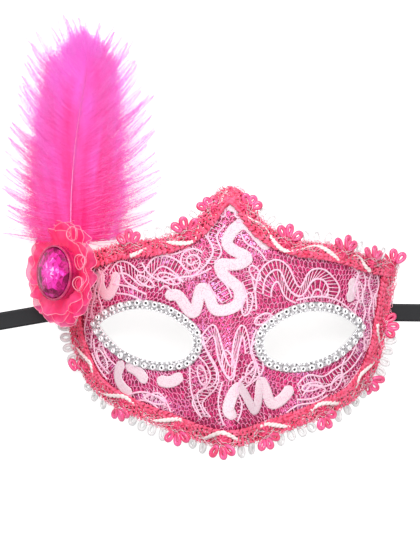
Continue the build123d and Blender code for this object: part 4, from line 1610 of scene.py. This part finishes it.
# ------------------------------------------------------------------ eye trims
@dataclass
class EyeTrim:
    """Silver trim round one eye: a tape, a row of dimpled studs, a row of beads and a wire edge."""

    side: int
    studs: int = 31
    beads: int = 50
    stud_radius: float = 1.9
    tape_lift: float = 0.55

    def ring(self, amount: float, count: int, lift: float) -> tuple[Array, Array, Array]:
        """Spaces places evenly round the eye.

        Args:
            amount: how far outside the opening.
            count: how many places.
            lift: how far off the lace.

        Returns:
            The points, the skin's normals and the ways along.
        """
        eye = EYES[self.side]
        line = eye.beside(np.arange(900) / 900, -amount)[0]
        line = evenly(np.vstack([line, line[:1]]), count, closed=True)
        points, normals = FORM.drape(line, lift)
        along = unit(np.roll(points, -1, axis=0) - np.roll(points, 1, axis=0))
        return points, normals, along

    def build(self) -> None:
        """Makes the four pieces."""
        hand = "right" if self.side > 0 else "left"
        rows = [
            (0.1, 0.1), (0.0, 0.45), (0.5, 0.75), (1.6, 0.8), (3.4, 0.8), (4.7, 0.7), (5.2, 0.4), (5.0, 0.1)
        ]
        grid = np.stack([self.ring(amount, 260, lift)[0] for amount, lift in rows], axis=1)
        count, size, _ = grid.shape
        index = np.arange(count * size).reshape(count, size)
        ahead = np.roll(index, -1, axis=0)
        quads = np.stack([index, np.roll(index, -1, 1), np.roll(ahead, -1, 1), ahead], axis=-1)[..., ::-1]
        tape = Shape()
        tape.add(grid, [quads.reshape(-1, 4)])
        tape.piece(f"{hand}_eye_tape", TAPE, [f"{hand}_eye_band"])
        radius = self.stud_radius
        dome = [(0.6, -0.3), (0.62, 0.35), (0.85, 0.9), (1.15, 1.1), (1.45, 0.85)]
        stud = self.turned([*dome, (radius, 0.1), (radius - 0.1, -0.3)], 12)
        points, normals, along = self.ring(3.5, self.studs, self.tape_lift + 0.35)
        studs = Shape()
        rng = np.random.default_rng(21 + self.side)
        tilt = normals + along * rng.normal(0, 0.12, self.studs)[:, None]
        studs.stamped(stud, points, np.cross(along, tilt), tilt, rng.uniform(0.92, 1.12, self.studs))
        studs.piece(f"{hand}_eye_ring_studs", SILVER, [f"{hand}_eye_studs"])
        hole = self.turned([(0.05, -0.35), (0.6, -0.3), (0.55, 0.2), (0.05, 0.12)], 10)
        holes = Shape()
        holes.stamped(hole, points, np.cross(along, tilt), tilt)
        holes.piece(f"{hand}_eye_stud_holes", DARK_SILVER)
        bead = self.turned([(0.05, -0.35), (0.72, -0.3), (0.78, 0.2), (0.45, 0.55), (0.05, 0.62)], 8)
        points, normals, along = self.ring(0.95, self.beads, self.tape_lift + 0.5)
        beads = Shape()
        beads.stamped(bead, points, along, normals, rng.uniform(0.85, 1.15, self.beads))
        wire, wire_normals, _ = self.ring(0.15, 420, self.tape_lift + 0.25)
        beat = np.arange(420) * (2 * math.pi * 70 / 420)
        wire = wire + wire_normals * (0.12 * np.sin(beat))[:, None]
        beads.swept(wire, round_profile(6), 0.3, wire_normals, closed=True)
        beads.piece(f"{hand}_eye_bead_row", SILVER, [f"{hand}_eye_beads"])

    @staticmethod
    def turned(outline: Sequence[tuple[float, float]], sides: int) -> Shape:
        """Turns an outline about the third axis.

        Args:
            outline: places (radius, height).
            sides: how many sides the shape has.

        Returns:
            The shape.
        """
        radius, height = (np.array(column)[:, None] for column in zip(*outline))
        turn = full_turn(sides)
        x, y = radius * np.cos(turn), radius * np.sin(turn)
        shape = Shape()
        shape.wall(np.stack([x, y, np.broadcast_to(height, x.shape)], axis=-1))
        return shape


# ------------------------------------------------------------------ rosette and gem
@dataclass
class Rosette:
    """Gathered organza with wired edges round a faceted gem, turned out over the left temple."""

    place: tuple[float, float] = (-80.5, 33.0)
    shift: tuple[float, float, float] = (-2.3, 0.0, 0.3)
    tilt: float = 49.0
    ruffle_low: float = 6.8
    gem_low: float = 18.25
    gem_radius: float = 14.0
    gem_sides: int = 16
    rim_radius: float = 14.75

    def __post_init__(self) -> None:
        """Sets the rosette's own axes."""
        lean = math.radians(self.tilt)
        x, y = self.place
        seat = float(FORM.height(np.array(x), np.array(y))) + FORM.lace_top
        self.origin = np.array([x, y, seat]) + self.shift
        cos, sin = math.cos(lean), math.sin(lean)
        self.axes = np.array([[cos, 0, sin], [0, 1, 0], [-sin, 0, cos]])

    def world(self, local: Array) -> Array:
        """Places given on the rosette's axes, in the mask's frame."""
        return self.origin + local @ self.axes

    def collar(self, name: str, radii: tuple[float, float], low: float, rise: float, waves: int, depth: float,
               seed: int, replaced: Sequence[str], scallops: int, gather: float) -> None:
        """One gathered collar and its wired edge.

        The height over the seat is low, plus the rise times s to the power 1.3, plus the depth times
        s to the power 0.8 times a sum of sines round it, with s from 0 at the stitching to 1 at the
        edge. The edge goes in and out in scallops.

        Args:
            name: the piece's name.
            radii: of the stitching and of the edge.
            low: the stitching's height.
            rise: the edge's height over it.
            waves: how many folds it has.
            depth: how deep they are.
            seed: for the phases.
            replaced: the CAD nodes that it stands for.
            scallops: how many it has.
            gather: how far the folds lean over.
        """
        rng = np.random.default_rng(seed)
        phase = rng.uniform(0, 2 * math.pi, 4)
        turn = full_turn(420)
        share = np.linspace(0, 1, 16)
        a, s = np.meshgrid(turn, share, indexing="ij")
        edge = radii[1] * (0.93 + 0.07 * np.abs(np.cos(scallops * a / 2 + phase[0])) ** 0.7)
        edge = edge + radii[1] * 0.03 * np.sin(3 * a + phase[1])
        swing = np.sin(waves * a + phase[2] + 0.9 * np.sin(2 * a)) + 0.5 * np.sin((waves + 5) * a + phase[3])
        swing = swing + 0.35 * np.sin(2.3 * waves * a + phase[1]) * s
        reach = radii[0] + (edge - radii[0]) * s
        angle = a + gather / waves * s * np.cos(waves * a + phase[2])
        height = low + rise * s**1.3 + depth * s**0.8 * swing
        local = np.stack([reach * np.cos(angle), reach * np.sin(angle), height], axis=-1)
        cloth = Shape()
        cloth.surface(self.world(local), closed=True, maps=np.stack([a / (2 * math.pi), s], axis=-1))
        made = cloth.piece(name, ORGANZA, replaced)
        area = self.area(self.world(local)) * 1e-6
        long = 2 * math.pi * radii[1] * UNIT * 1.25
        area / long * 1.05
        wire = Shape()
        wire.swept(self.world(local[:, -1]), round_profile(6), 0.2, self.axes[2], closed=True)
        wire.piece(f"{name}_edge", EDGE)

    @staticmethod
    def area(grid: Array) -> float:
        """The area of a grid of points whose last row joins its first."""
        ahead = np.roll(grid, -1, axis=0)
        cross = np.cross(ahead[:, :-1] - grid[:, :-1], grid[:, 1:] - grid[:, :-1])
        return float(np.linalg.norm(cross, axis=-1).sum())

    def petal(self, cloth: Shape, wire: Shape, angle: float, reach: float, long: float, wide: float,
              low: float, lift: float, curl: float) -> None:
        """One rounded petal with a wired edge: an oval dish, raised and curled at its far end.

        Args:
            cloth: takes the petal.
            wire: takes its edge.
            angle: its way round the gem, in degrees.
            reach: how far out its middle is.
            long: half its length.
            wide: half its width.
            low: its height over the seat.
            lift: its far end's rise.
            curl: its sides' rise.
        """
        way = math.radians(angle)
        cos, sin = math.cos(way), math.sin(way)
        turn = full_turn(48)
        share = np.linspace(0.02, 1, 9)
        a, s = np.meshgrid(turn, share, indexing="ij")
        along, aside = long * s * np.cos(a), wide * s * np.sin(a)
        far = (along + long) / (2 * long)
        height = low + lift * far**1.5 + curl * s**2 * np.sin(a) ** 2 + 0.5 * np.sin(5 * a + angle) * s
        x = reach + along - 0.35 * curl * far**2
        local = np.stack([x * cos - aside * sin, x * sin + aside * cos, height], axis=-1)
        cloth.surface(self.world(local), closed=True)
        wire.swept(self.world(local[:, -1]), round_profile(6), 0.19, self.axes[2], closed=True)

    def petals(self) -> None:
        """The loose petals over the collars, and the rings that curl beside the gem."""
        cloth, wire = Shape(), Shape()
        for angle, reach, long, wide, low, lift, curl in (
            (128, 21, 8.5, 8, 11.5, 4.5, 2.5), (176, 21.5, 8.5, 8.5, 12, 4.5, 2.8),
            (222, 21, 9, 8.5, 11, 4.5, 2.4), (84, 20, 9, 8.5, 11, 4, 2.2), (268, 19, 9.5, 9, 10.5, 3.5, 2.0),
            (310, 18.5, 9, 8, 11, 3, 2.0), (350, 18, 8, 7.5, 11, 3.5, 2.0), (30, 18.5, 8.5, 7.5, 11, 3.5, 2),
            (104, 24, 6.5, 7, 9, 4, 2), (152, 25, 6, 7, 10, 4, 2), (199, 25, 6, 7, 10, 4, 2),
            (244, 24, 7, 7, 9, 4, 2), (288, 23.5, 6.5, 7, 8, 4, 2), (330, 23, 6.5, 6.5, 9, 3.5, 2),
            (60, 23, 7, 6.5, 9, 3.5, 2),
        ):
            self.petal(cloth, wire, angle, reach, long, wide, low, lift, curl)
        cloth.piece("rosette_petals", ORGANZA)
        wire.piece("rosette_petal_edges", EDGE)
        rings = Shape()
        for angle, reach, radius, rise in ((58, 25.5, 4.4, 2.4), (16, 21.5, 4.6, 2.0), (-17, 20.3, 4.2, 2.2)):
            way = math.radians(angle)
            turn = full_turn(40)
            for size, low in ((1.0, 17.2), (0.93, 18.4 - rise / 2), (0.86, 15.8)):
                x = reach * math.cos(way) + radius * size * np.cos(turn)
                y = reach * math.sin(way) + radius * size * np.sin(turn) * 0.92
                z = low + 0.5 * np.sin(2 * turn + angle)
                ring = self.world(np.stack([x, y, z], axis=1))
                rings.swept(ring, round_profile(6), 0.26 if size == 1.0 else 0.16, self.axes[2], closed=True)
        rings.piece("rosette_ring_curls", EDGE, ["rosette_curls"])

    def gem(self) -> None:
        """The gem: a table, four rings of facets and a girdle, in a clear rim."""
        low, full, sides = self.gem_low, self.gem_radius - 0.05, self.gem_sides
        rings = [
            (full, 0.0, 0.0), (full, 1.4, 0.0), (full * 0.86, 3.1, 0.5), (full * 0.66, 4.4, 0.0),
            (full * 0.42, 5.15, 0.5), (full * 0.2, 5.42, 0.0),
        ]
        grid = []
        for radius, height, shift in rings:
            turn = full_turn(sides) + shift * 2 * math.pi / sides
            x, y = radius * np.cos(turn), radius * np.sin(turn)
            grid.append(np.stack([x, y, np.full(sides, low + height)], axis=1))
        rng = np.random.default_rng(5)
        shape = Shape()
        for ring in range(len(rings) - 1):
            near, far = grid[ring], grid[ring + 1]
            for side in range(sides):
                after = (side + 1) % sides
                if rings[ring][2] <= rings[ring + 1][2]:
                    pair = [(near[side], near[after], far[side]), (near[after], far[after], far[side])]
                else:
                    pair = [(near[side], near[after], far[after]), (near[side], far[after], far[side])]
                for corners in pair:
                    self.facet(shape, np.array(corners), rng)
        for cap, way in ((grid[-1], 1), (grid[0], -1)):
            self.facet(shape, cap[::way], rng)
        shape.piece("faceted_gem", GEM, ["gem"], flat=True)
        rim = Shape()
        turn, radius = full_turn(64), self.rim_radius
        ring = np.stack([radius * np.cos(turn), radius * np.sin(turn), np.full(64, low + 0.4)], axis=1)
        profile = np.array([[-0.65, -1.0], [0.75, -1.0], [0.75, 0.35], [0.2, 0.95], [-0.65, 1.0]])
        rim.swept(self.world(ring), profile, 1.0, self.axes[2], closed=True)
        rim.piece("gem_clear_rim", RIM_CLEAR)

    def facet(self, shape: Shape, corners: Array, rng: np.random.Generator) -> None:
        """One facet with a random tone for its painted reflection, and a painted highlight, brighter on
        facets near the middle and darker towards the rim.

        Args:
            shape: the shape that takes it.
            corners: its corners, on the rosette's axes.
            rng: the chance that its tone comes from.
        """
        middle = corners.mean(axis=0)
        # the painted highlight is centred a little off the gem's middle and fades towards its rim
        off = np.hypot(middle[0] - 2.5, middle[1] - 1.0) / self.gem_radius
        tone = np.array([rng.uniform(0, 1), np.clip(1.22 - 1.55 * off, 0, 1)])
        count = len(corners)
        shape.add(self.world(corners), [np.arange(count)[None]], np.broadcast_to(tone, (count, 2)))

    def build(self) -> None:
        """Makes the collars, petals, curls and gem."""
        low = self.ruffle_low
        for name, ruffle, edge, *folds, scallops in (
            ("outer", "outer", 29.3, low + 0.6, 5.6, 11, 1.7, 1, 9),
            ("inner", "middle", 24.5, low + 4.2, 6.2, 9, 1.6, 2, 8),
        ):
            replaced = [f"rosette_{ruffle}_ruffle"]
            self.collar(f"rosette_{name}_collar", (5.0, edge), *folds, replaced, scallops, 0.5)
        self.petals()
        self.gem()


# ------------------------------------------------------------------ plume
@dataclass
class Plume:
    """A dyed down feather: a quill, curved barbs in tufts, and fine hairs all along them."""

    rosette: Rosette
    foot: tuple[float, float, float] = (-4.5, -4.0, 2.5)
    rise: float = 7.0
    quill_length: float = 128.0
    quill_bow: float = -5.0
    quill_shift: float = 10.0
    barbs: int = 1500
    hairs: int = 30
    tufts: int = 46
    first_barb: float = 22.0
    barb_span: float = 101.0
    wisp_from: float = 0.89
    seed: int = 8

    def world(self, local: Array) -> Array:
        """Places (aside, along, off) on the feather's plane, in the mask's frame."""
        foot = self.rosette.world(np.array(self.foot))
        cos, sin = math.cos(math.radians(self.rise)), math.sin(math.radians(self.rise))
        return foot + local @ np.array([[1, 0, 0], [0, cos, sin], [0, -sin, cos]])

    def quill_at(self, along: Array) -> Array:
        """Sideways place of the quill's centre."""
        share = along / self.quill_length
        return self.quill_shift * share + 4 * self.quill_bow * share * (1 - share)

    def quill(self) -> None:
        """The bare, tapered quill."""
        along = np.linspace(0, self.quill_length, 60)
        path = np.stack([self.quill_at(along), along, np.zeros(60)], axis=1)
        shape = Shape()
        shape.swept(self.world(path), round_profile(10), np.linspace(0.55, 0.14, 60))
        shape.piece("plume_quill", QUILL, ["feather_quill"])

    def barb_lines(self, side: int, rng: np.random.Generator) -> tuple[Array, Array]:
        """The barbs of one side.

        Each leaves the quill at an angle that falls towards the tip and bends on towards it. Long
        ones draw together into pointed wisps; short ones fill the body.

        Args:
            side: 1 for the right vane, -1 for the left.
            rng: the chance that they come from.

        Returns:
            Their lines on the feather's plane, and each one's share of the full length.
        """
        count = self.barbs
        root = np.sort(rng.uniform(0, 1, count)) ** 0.92
        steps = np.linspace(0, 1, 13)
        lengths = {
            -1: np.interp(root, [0, 0.1, 0.35, 0.6, 0.8, 1], [38, 41, 43, 45, 45, 28]),
            1: np.interp(root, [0, 0.1, 0.3, 0.6, 0.8, 1], [48, 54, 55, 50, 43, 23]),
        }[side]
        wisp = rng.uniform(0, 1, count) < 0.42
        full = np.where(wisp, rng.uniform(0.9, 1.04, count), rng.uniform(0.42, 0.8, count))
        lengths = lengths * full
        leave = np.interp(root, [0, 0.2, 0.6, 0.82, 0.93, 1], [96, 82, 66, 50, 30, 2 - 8 * side])
        leave = leave + rng.normal(0, 5, count)
        bend = np.interp(root, [0, 0.25, 0.6, 1], [26, 30, 34, 0]) + rng.normal(0, 7, count)
        angle = np.radians(leave[:, None] - bend[:, None] * steps)
        angle = angle + 0.08 * np.sin(steps * rng.uniform(3, 7, (count, 1)) + rng.uniform(0, 6, (count, 1)))
        stride = lengths[:, None] / (len(steps) - 1)
        zero = np.zeros((count, 1))
        aside = np.concatenate([zero, np.cumsum(np.sin(angle[:, 1:]) * stride, axis=1)], axis=1)
        ahead = np.concatenate([zero, np.cumsum(np.cos(angle[:, 1:]) * stride, axis=1)], axis=1)
        start = self.first_barb + root * self.barb_span
        off = rng.normal(0, 1.2, count)[:, None] * steps * 3.0 + rng.uniform(-0.3, 0.3, (count, 1))
        off = off + 1.6 * steps**2
        lines = np.stack([self.quill_at(start)[:, None] + side * aside, start[:, None] + ahead, off], axis=-1)
        short = full < self.wisp_from
        tuft = (root * self.tufts).astype(int).clip(0, self.tufts - 1) * 2 + short
        bins = 2 * self.tufts
        tips = np.stack([np.bincount(tuft, lines[:, -1, axis], bins) for axis in range(3)], axis=1)
        tips = tips / np.maximum(np.bincount(tuft, minlength=bins), 1)[:, None]
        tips[:, :2] += rng.normal(0, 1.6, (bins, 2))
        loose = rng.uniform(0, 1, count) < 0.2
        pull = np.where(short, 0.5, np.where(loose, 0.25, 0.94))
        draw = pull[:, None, None] * (steps**2.2)[None, :, None]
        return lines + (tips[tuft] - lines[:, -1])[:, None] * draw, full

    def down(self, lines: Array, full: Array, rng: np.random.Generator) -> Shape:
        """Fine straight hairs off the barbs: thin three-sided spikes.

        Args:
            lines: the barbs.
            full: each barb's share of the full length; its hairs shorten towards that end.
            rng: the chance that they come from.

        Returns:
            The hairs.
        """
        count, points, _ = lines.shape
        total = count * self.hairs
        barb = np.repeat(np.arange(count), self.hairs)
        where = rng.uniform(0.06, 1.0, total) ** 0.85 * (points - 1)
        low = np.minimum(where.astype(int), points - 2)
        part = (where - low)[:, None]
        base = lines[barb, low] * (1 - part) + lines[barb, low + 1] * part
        tangent = unit(lines[barb, low + 1] - lines[barb, low])
        across = np.stack([-tangent[:, 1], tangent[:, 0], 0 * tangent[:, 0]], axis=1)
        lean = rng.choice([-1, 1], total) * rng.uniform(0.3, 0.95, total)
        off = np.array([0, 0, 1]) * rng.normal(0.05, 0.32, total)[:, None]
        way = unit(tangent + across * lean[:, None] + off)
        along = where / (points - 1)
        shrink = np.interp(along * full[barb], [0, 0.5, 0.66, 0.78, 1], [1.0, 0.85, 0.38, 0.13, 0.05])
        size = rng.uniform(1.8, 4.6, total) * shrink
        tip = base + way * size[:, None]
        first = unit(np.cross(way, rng.normal(0, 1, (total, 3))))
        other = np.cross(way, first)
        thick = rng.uniform(0.055, 0.10, total)[:, None]
        corners = [base + (first * math.cos(t) + other * math.sin(t)) * thick for t in (0.0, 2.094, 4.189)]
        spikes = np.stack([*corners, tip], axis=1)
        index = np.arange(total * 4).reshape(total, 4)
        sides = ([0, 1, 3], [1, 2, 3], [2, 0, 3], [2, 1, 0])
        faces = np.concatenate([index[:, side] for side in sides])
        maps = np.repeat(np.stack([along, rng.uniform(0, 1, total)], axis=1)[:, None], 4, axis=1)
        maps[:, 3, 0] = np.minimum(along + 0.12, 1)
        shape = Shape()
        shape.add(self.world(spikes.reshape(-1, 3)), [faces], maps)
        return shape

    def build(self) -> None:
        """Makes the quill, the barbs, the down and a softer layer of barbs under them."""
        self.quill()
        for side, hand in ((-1, "left"), (1, "right")):
            rng = np.random.default_rng(self.seed + side)
            lines, full = self.barb_lines(side, rng)
            barbs = Shape()
            barbs.swept(self.world(lines), round_profile(3), np.linspace(1, 0.25, lines.shape[1]) * 0.12)
            barbs.piece(f"plume_{hand}_barbs", PLUME, [f"feather_{hand}_vane"])
            self.down(lines, full, rng).piece(f"plume_{hand}_down", PLUME)
            under, _ = self.barb_lines(side, rng)
            under = under[:, :8]
            under[..., 2] -= 0.9
            soft = Shape()
            soft.swept(self.world(under), round_profile(3), np.linspace(0.3, 0.1, 8))
            soft.piece(f"plume_{hand}_underdown", PLUME)


# ------------------------------------------------------------------ ribbon ties
@dataclass
class RibbonTie:
    """A black satin tie: flat on the table, then turned on its edge into one closing loop."""

    hand: str
    route: Sequence[tuple[float, float, float]]
    flat_run: float
    heading: float
    turn: int
    width: float = 10.0
    thickness: float = 0.45
    twist: float = 30.0
    radii: Sequence[float] = (44.0, 42.0, 40.0, 38.0, 36.0)
    gap: float = 0.05

    def points(self) -> list[tuple[float, float, float]]:
        """The route's points.

        Returns:
            Those of the given run, then the loop's, twelve to a turn.
        """
        on_edge = self.gap + self.width / 2
        x, y, _ = self.route[-1]
        way = math.radians(self.heading)
        step = self.turn * math.radians(30)
        points = list(self.route)
        for radius in self.radii:
            for _ in range(3):
                way += step / 2
                x += 2 * radius * math.sin(abs(step) / 2) * math.cos(way)
                y += 2 * radius * math.sin(abs(step) / 2) * math.sin(way)
                way += step / 2
                points.append((x, y, on_edge))
        return points

    def spline(self) -> Array:
        """Makes a NURBS line of the route and reads it.

        Returns:
            The line's points.
        """
        curve = bpy.data.curves.new(f"{self.hand}_route", "CURVE")
        curve.dimensions = "3D"
        curve.resolution_u = 12
        line = curve.splines.new("NURBS")
        route = self.points()
        line.points.add(len(route) - 1)
        for point, place in zip(line.points, route):
            point.co = (*(UNIT * axis for axis in place), 1.0)
        line.order_u = 3
        line.use_endpoint_u = True
        holder = linked(f"{self.hand}_route", curve)
        mesh = bpy.data.meshes.new_from_object(holder)
        points = np.empty(len(mesh.vertices) * 3)
        mesh.vertices.foreach_get("co", points)
        bpy.data.objects.remove(holder)
        bpy.data.meshes.remove(mesh)
        return points.reshape(-1, 3) / UNIT

    def build(self) -> None:
        """Makes the ribbon, its face turning from flat to upright over the twist."""
        path = evenly(self.spline(), 420)
        share = np.clip((run_of(path) - self.flat_run) / self.twist, 0, 1)
        roll = math.pi / 2 * share**2 * (3 - 2 * share)
        tangent = unit(np.gradient(path, axis=0))
        side = unit(np.cross([0.0, 0.0, 1.0], tangent))
        up = side * -np.sin(roll)[:, None] + np.array([0, 0, 1.0]) * np.cos(roll)[:, None]
        half, thin = self.width / 2, self.thickness / 2
        across = np.linspace(-half, half, 9)
        bead = thin * (1 + 0.25 * (np.abs(across) > half - 1.3))
        profile = np.vstack([np.stack([across[::-1], bead[::-1]], axis=1), np.stack([across, -bead], axis=1)])
        shape = Shape()
        shape.swept(path, profile, 1.0, up)
        shape.points[-1][:, 2] = np.maximum(shape.points[-1][:, 2], self.gap)
        replaced = [f"{self.hand}_ribbon", f"{self.hand}_ribbon_loop"]
        made = shape.piece(f"{self.hand}_ribbon_tie", RIBBON, replaced)
        tuple(UNIT * axis for axis in self.route[0])
        self.width * UNIT


def ribbon_ties() -> list[RibbonTie]:
    """Both ties.

    Returns:
        The ties, with the routes of the CAD ones: flat, and then a climb on to the edge.
    """
    flat, climb = 0.3, (1.6, 4.2, 5.05)
    right = [(x, 12.8, flat) for x in (84.85, 96.0, 110.0, 124.0, 137.85)]
    right += [(x, 12.8, z) for x, z in zip((147.0, 157.0, 167.85), climb)]
    heading = 190.5
    cos, sin = math.cos(math.radians(heading)), math.sin(math.radians(heading))
    steps = [(run, flat) for run in (0.0, 16.0, 33.0, 50.0, 67.0, 83.0)]
    steps += zip((93.0, 103.0, 113.0), climb)
    left = [(-84.85 + run * cos, 13.36 + run * sin, z) for run, z in steps]
    return [RibbonTie("right", right, 53.0, 0.0, -1), RibbonTie("left", left, 83.0, heading, 1)]


# ------------------------------------------------------------------ cloth, stage and camera
def glitter_cloth() -> None:
    """The glitter cloth under the lace: the CAD skin's own shape, with its points merged."""
    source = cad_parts["face_cloth"]
    mesh = source.data.copy()
    mesh.name = "glitter_cloth"
    cloth = linked("glitter_cloth", mesh)
    mesh.transform(source.matrix_world)
    merged = bmesh.new()
    merged.from_mesh(mesh)
    bmesh.ops.remove_doubles(merged, verts=merged.verts, dist=MERGE)
    merged.to_mesh(mesh)
    merged.free()
    dress(cloth, GLITTER)
    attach(cloth, "root")
    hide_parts("face_cloth")


@dataclass
class Studio:
    """A white table, soft light from past the forehead, and a camera straight above."""

    middle: tuple[float, float] = (-10.5, 30.0)
    field_height: float = 0.311
    distance: float = 1.3
    mask_plane: float = 0.03
    turn: float = 0.7
    sensor: float = 36.0
    aim: tuple[float, float, float] = (-0.01, 0.03, 0.03)
    table_size: float = 3.0
    table_tone: float = 0.55
    table_glow: float = 0.74

    def floor(self) -> None:
        """The table: a plane that shows white but keeps the mask's shadow."""
        shader = Shader("table")
        shader.set({
            "Base Color": (self.table_tone,) * 3,
            "Roughness": 0.9,
            "Emission Color": shader.mixed(shader.seen(), (0.0, 0.0, 0.0), (1.0, 1.0, 1.0)),
            "Emission Strength": self.table_glow,
        })
        mesh = bpy.data.meshes.new("table")
        size = self.table_size
        corners = [(-size, -size, 0), (size, -size, 0), (size, size, 0), (-size, size, 0)]
        mesh.from_pydata(corners, [], [(0, 1, 2, 3)])
        mesh.materials.append(shader.material)
        linked("table", mesh)

    def lamp(self, name: str, place: tuple[float, float, float], size: float, power: float) -> None:
        """A square soft lamp, turned to the mask.

        Args:
            name: its name.
            place: where it hangs, in metres.
            size: how wide it is.
            power: its watts.
        """
        light = bpy.data.lights.new(name, "AREA")
        light.size = size
        light.energy = power
        holder = linked(name, light)
        holder.location = place
        x, y, z = np.array(self.aim) - np.array(place)
        holder.rotation_euler = (math.atan2(math.hypot(x, y), -z), 0, math.atan2(-x, y))

    def build(self) -> None:
        """Sets the table, the lamps, the world and the camera."""
        scene = bpy.context.scene
        scene.view_settings.view_transform = "Standard"
        scene.cycles.transparent_max_bounces = 24
        self.floor()
        self.lamp("key", (-0.15, 0.75, 1.15), 0.9, 15.0)
        self.lamp("fill", (0.7, -0.4, 1.3), 1.2, 5.0)
        scene.world = bpy.data.worlds.new("studio")
        scene.world.use_nodes = True
        sky = Tree(scene.world.node_tree)
        colour, strength = sky.tree.nodes["Background"].inputs[:2]
        sky.feed(colour, (1.0, 1.0, 1.0))
        sky.feed(strength, sky.seen() * 0.5 + 0.5)
        camera = bpy.data.cameras.new("camera")
        camera.sensor_width = self.sensor
        camera.lens = self.sensor * self.distance / self.field_height
        scene.camera = linked("camera", camera)
        x, y = self.middle
        scene.camera.location = (x * UNIT, y * UNIT, self.distance + self.mask_plane)
        scene.camera.rotation_euler = (0, 0, math.radians(self.turn))


def main() -> None:
    """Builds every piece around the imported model, in order, and reports each one."""
    logging.basicConfig(level=logging.INFO, format="%(message)s")
    Studio().build()
    for tie in ribbon_ties():
        tie.build()
    for side in ("left", "right"):
        dress_node(f"{side}_ribbon_tail", TAIL)
    dress_node("mask_shell", BOARD)
    dress_node("rosette_felt", FELT)
    dress_node("gem_setting", RIM_CLEAR)
    glitter_cloth()
    LaceNet().build()
    LaceFigures().build()
    top_span = (TRIM_SPLIT, 1.0 - TRIM_SPLIT)
    RimTrim("top", top_span, TOP_FLOWERS, cord_from=1, seed=30, picot_radius=0.6, upright=0.9).build()
    RimTrim("lower", (-TRIM_SPLIT, TRIM_SPLIT), LOWER_FLOWERS, seed=60).build()
    for side in (-1, 1):
        EyeTrim(side).build()
    rosette = Rosette()
    rosette.build()
    Plume(rosette).build()
    for piece in made_pieces:
        log.info("%s: %d faces", piece.name, len(piece.data.polygons))


if __name__ == "__main__":
    main()
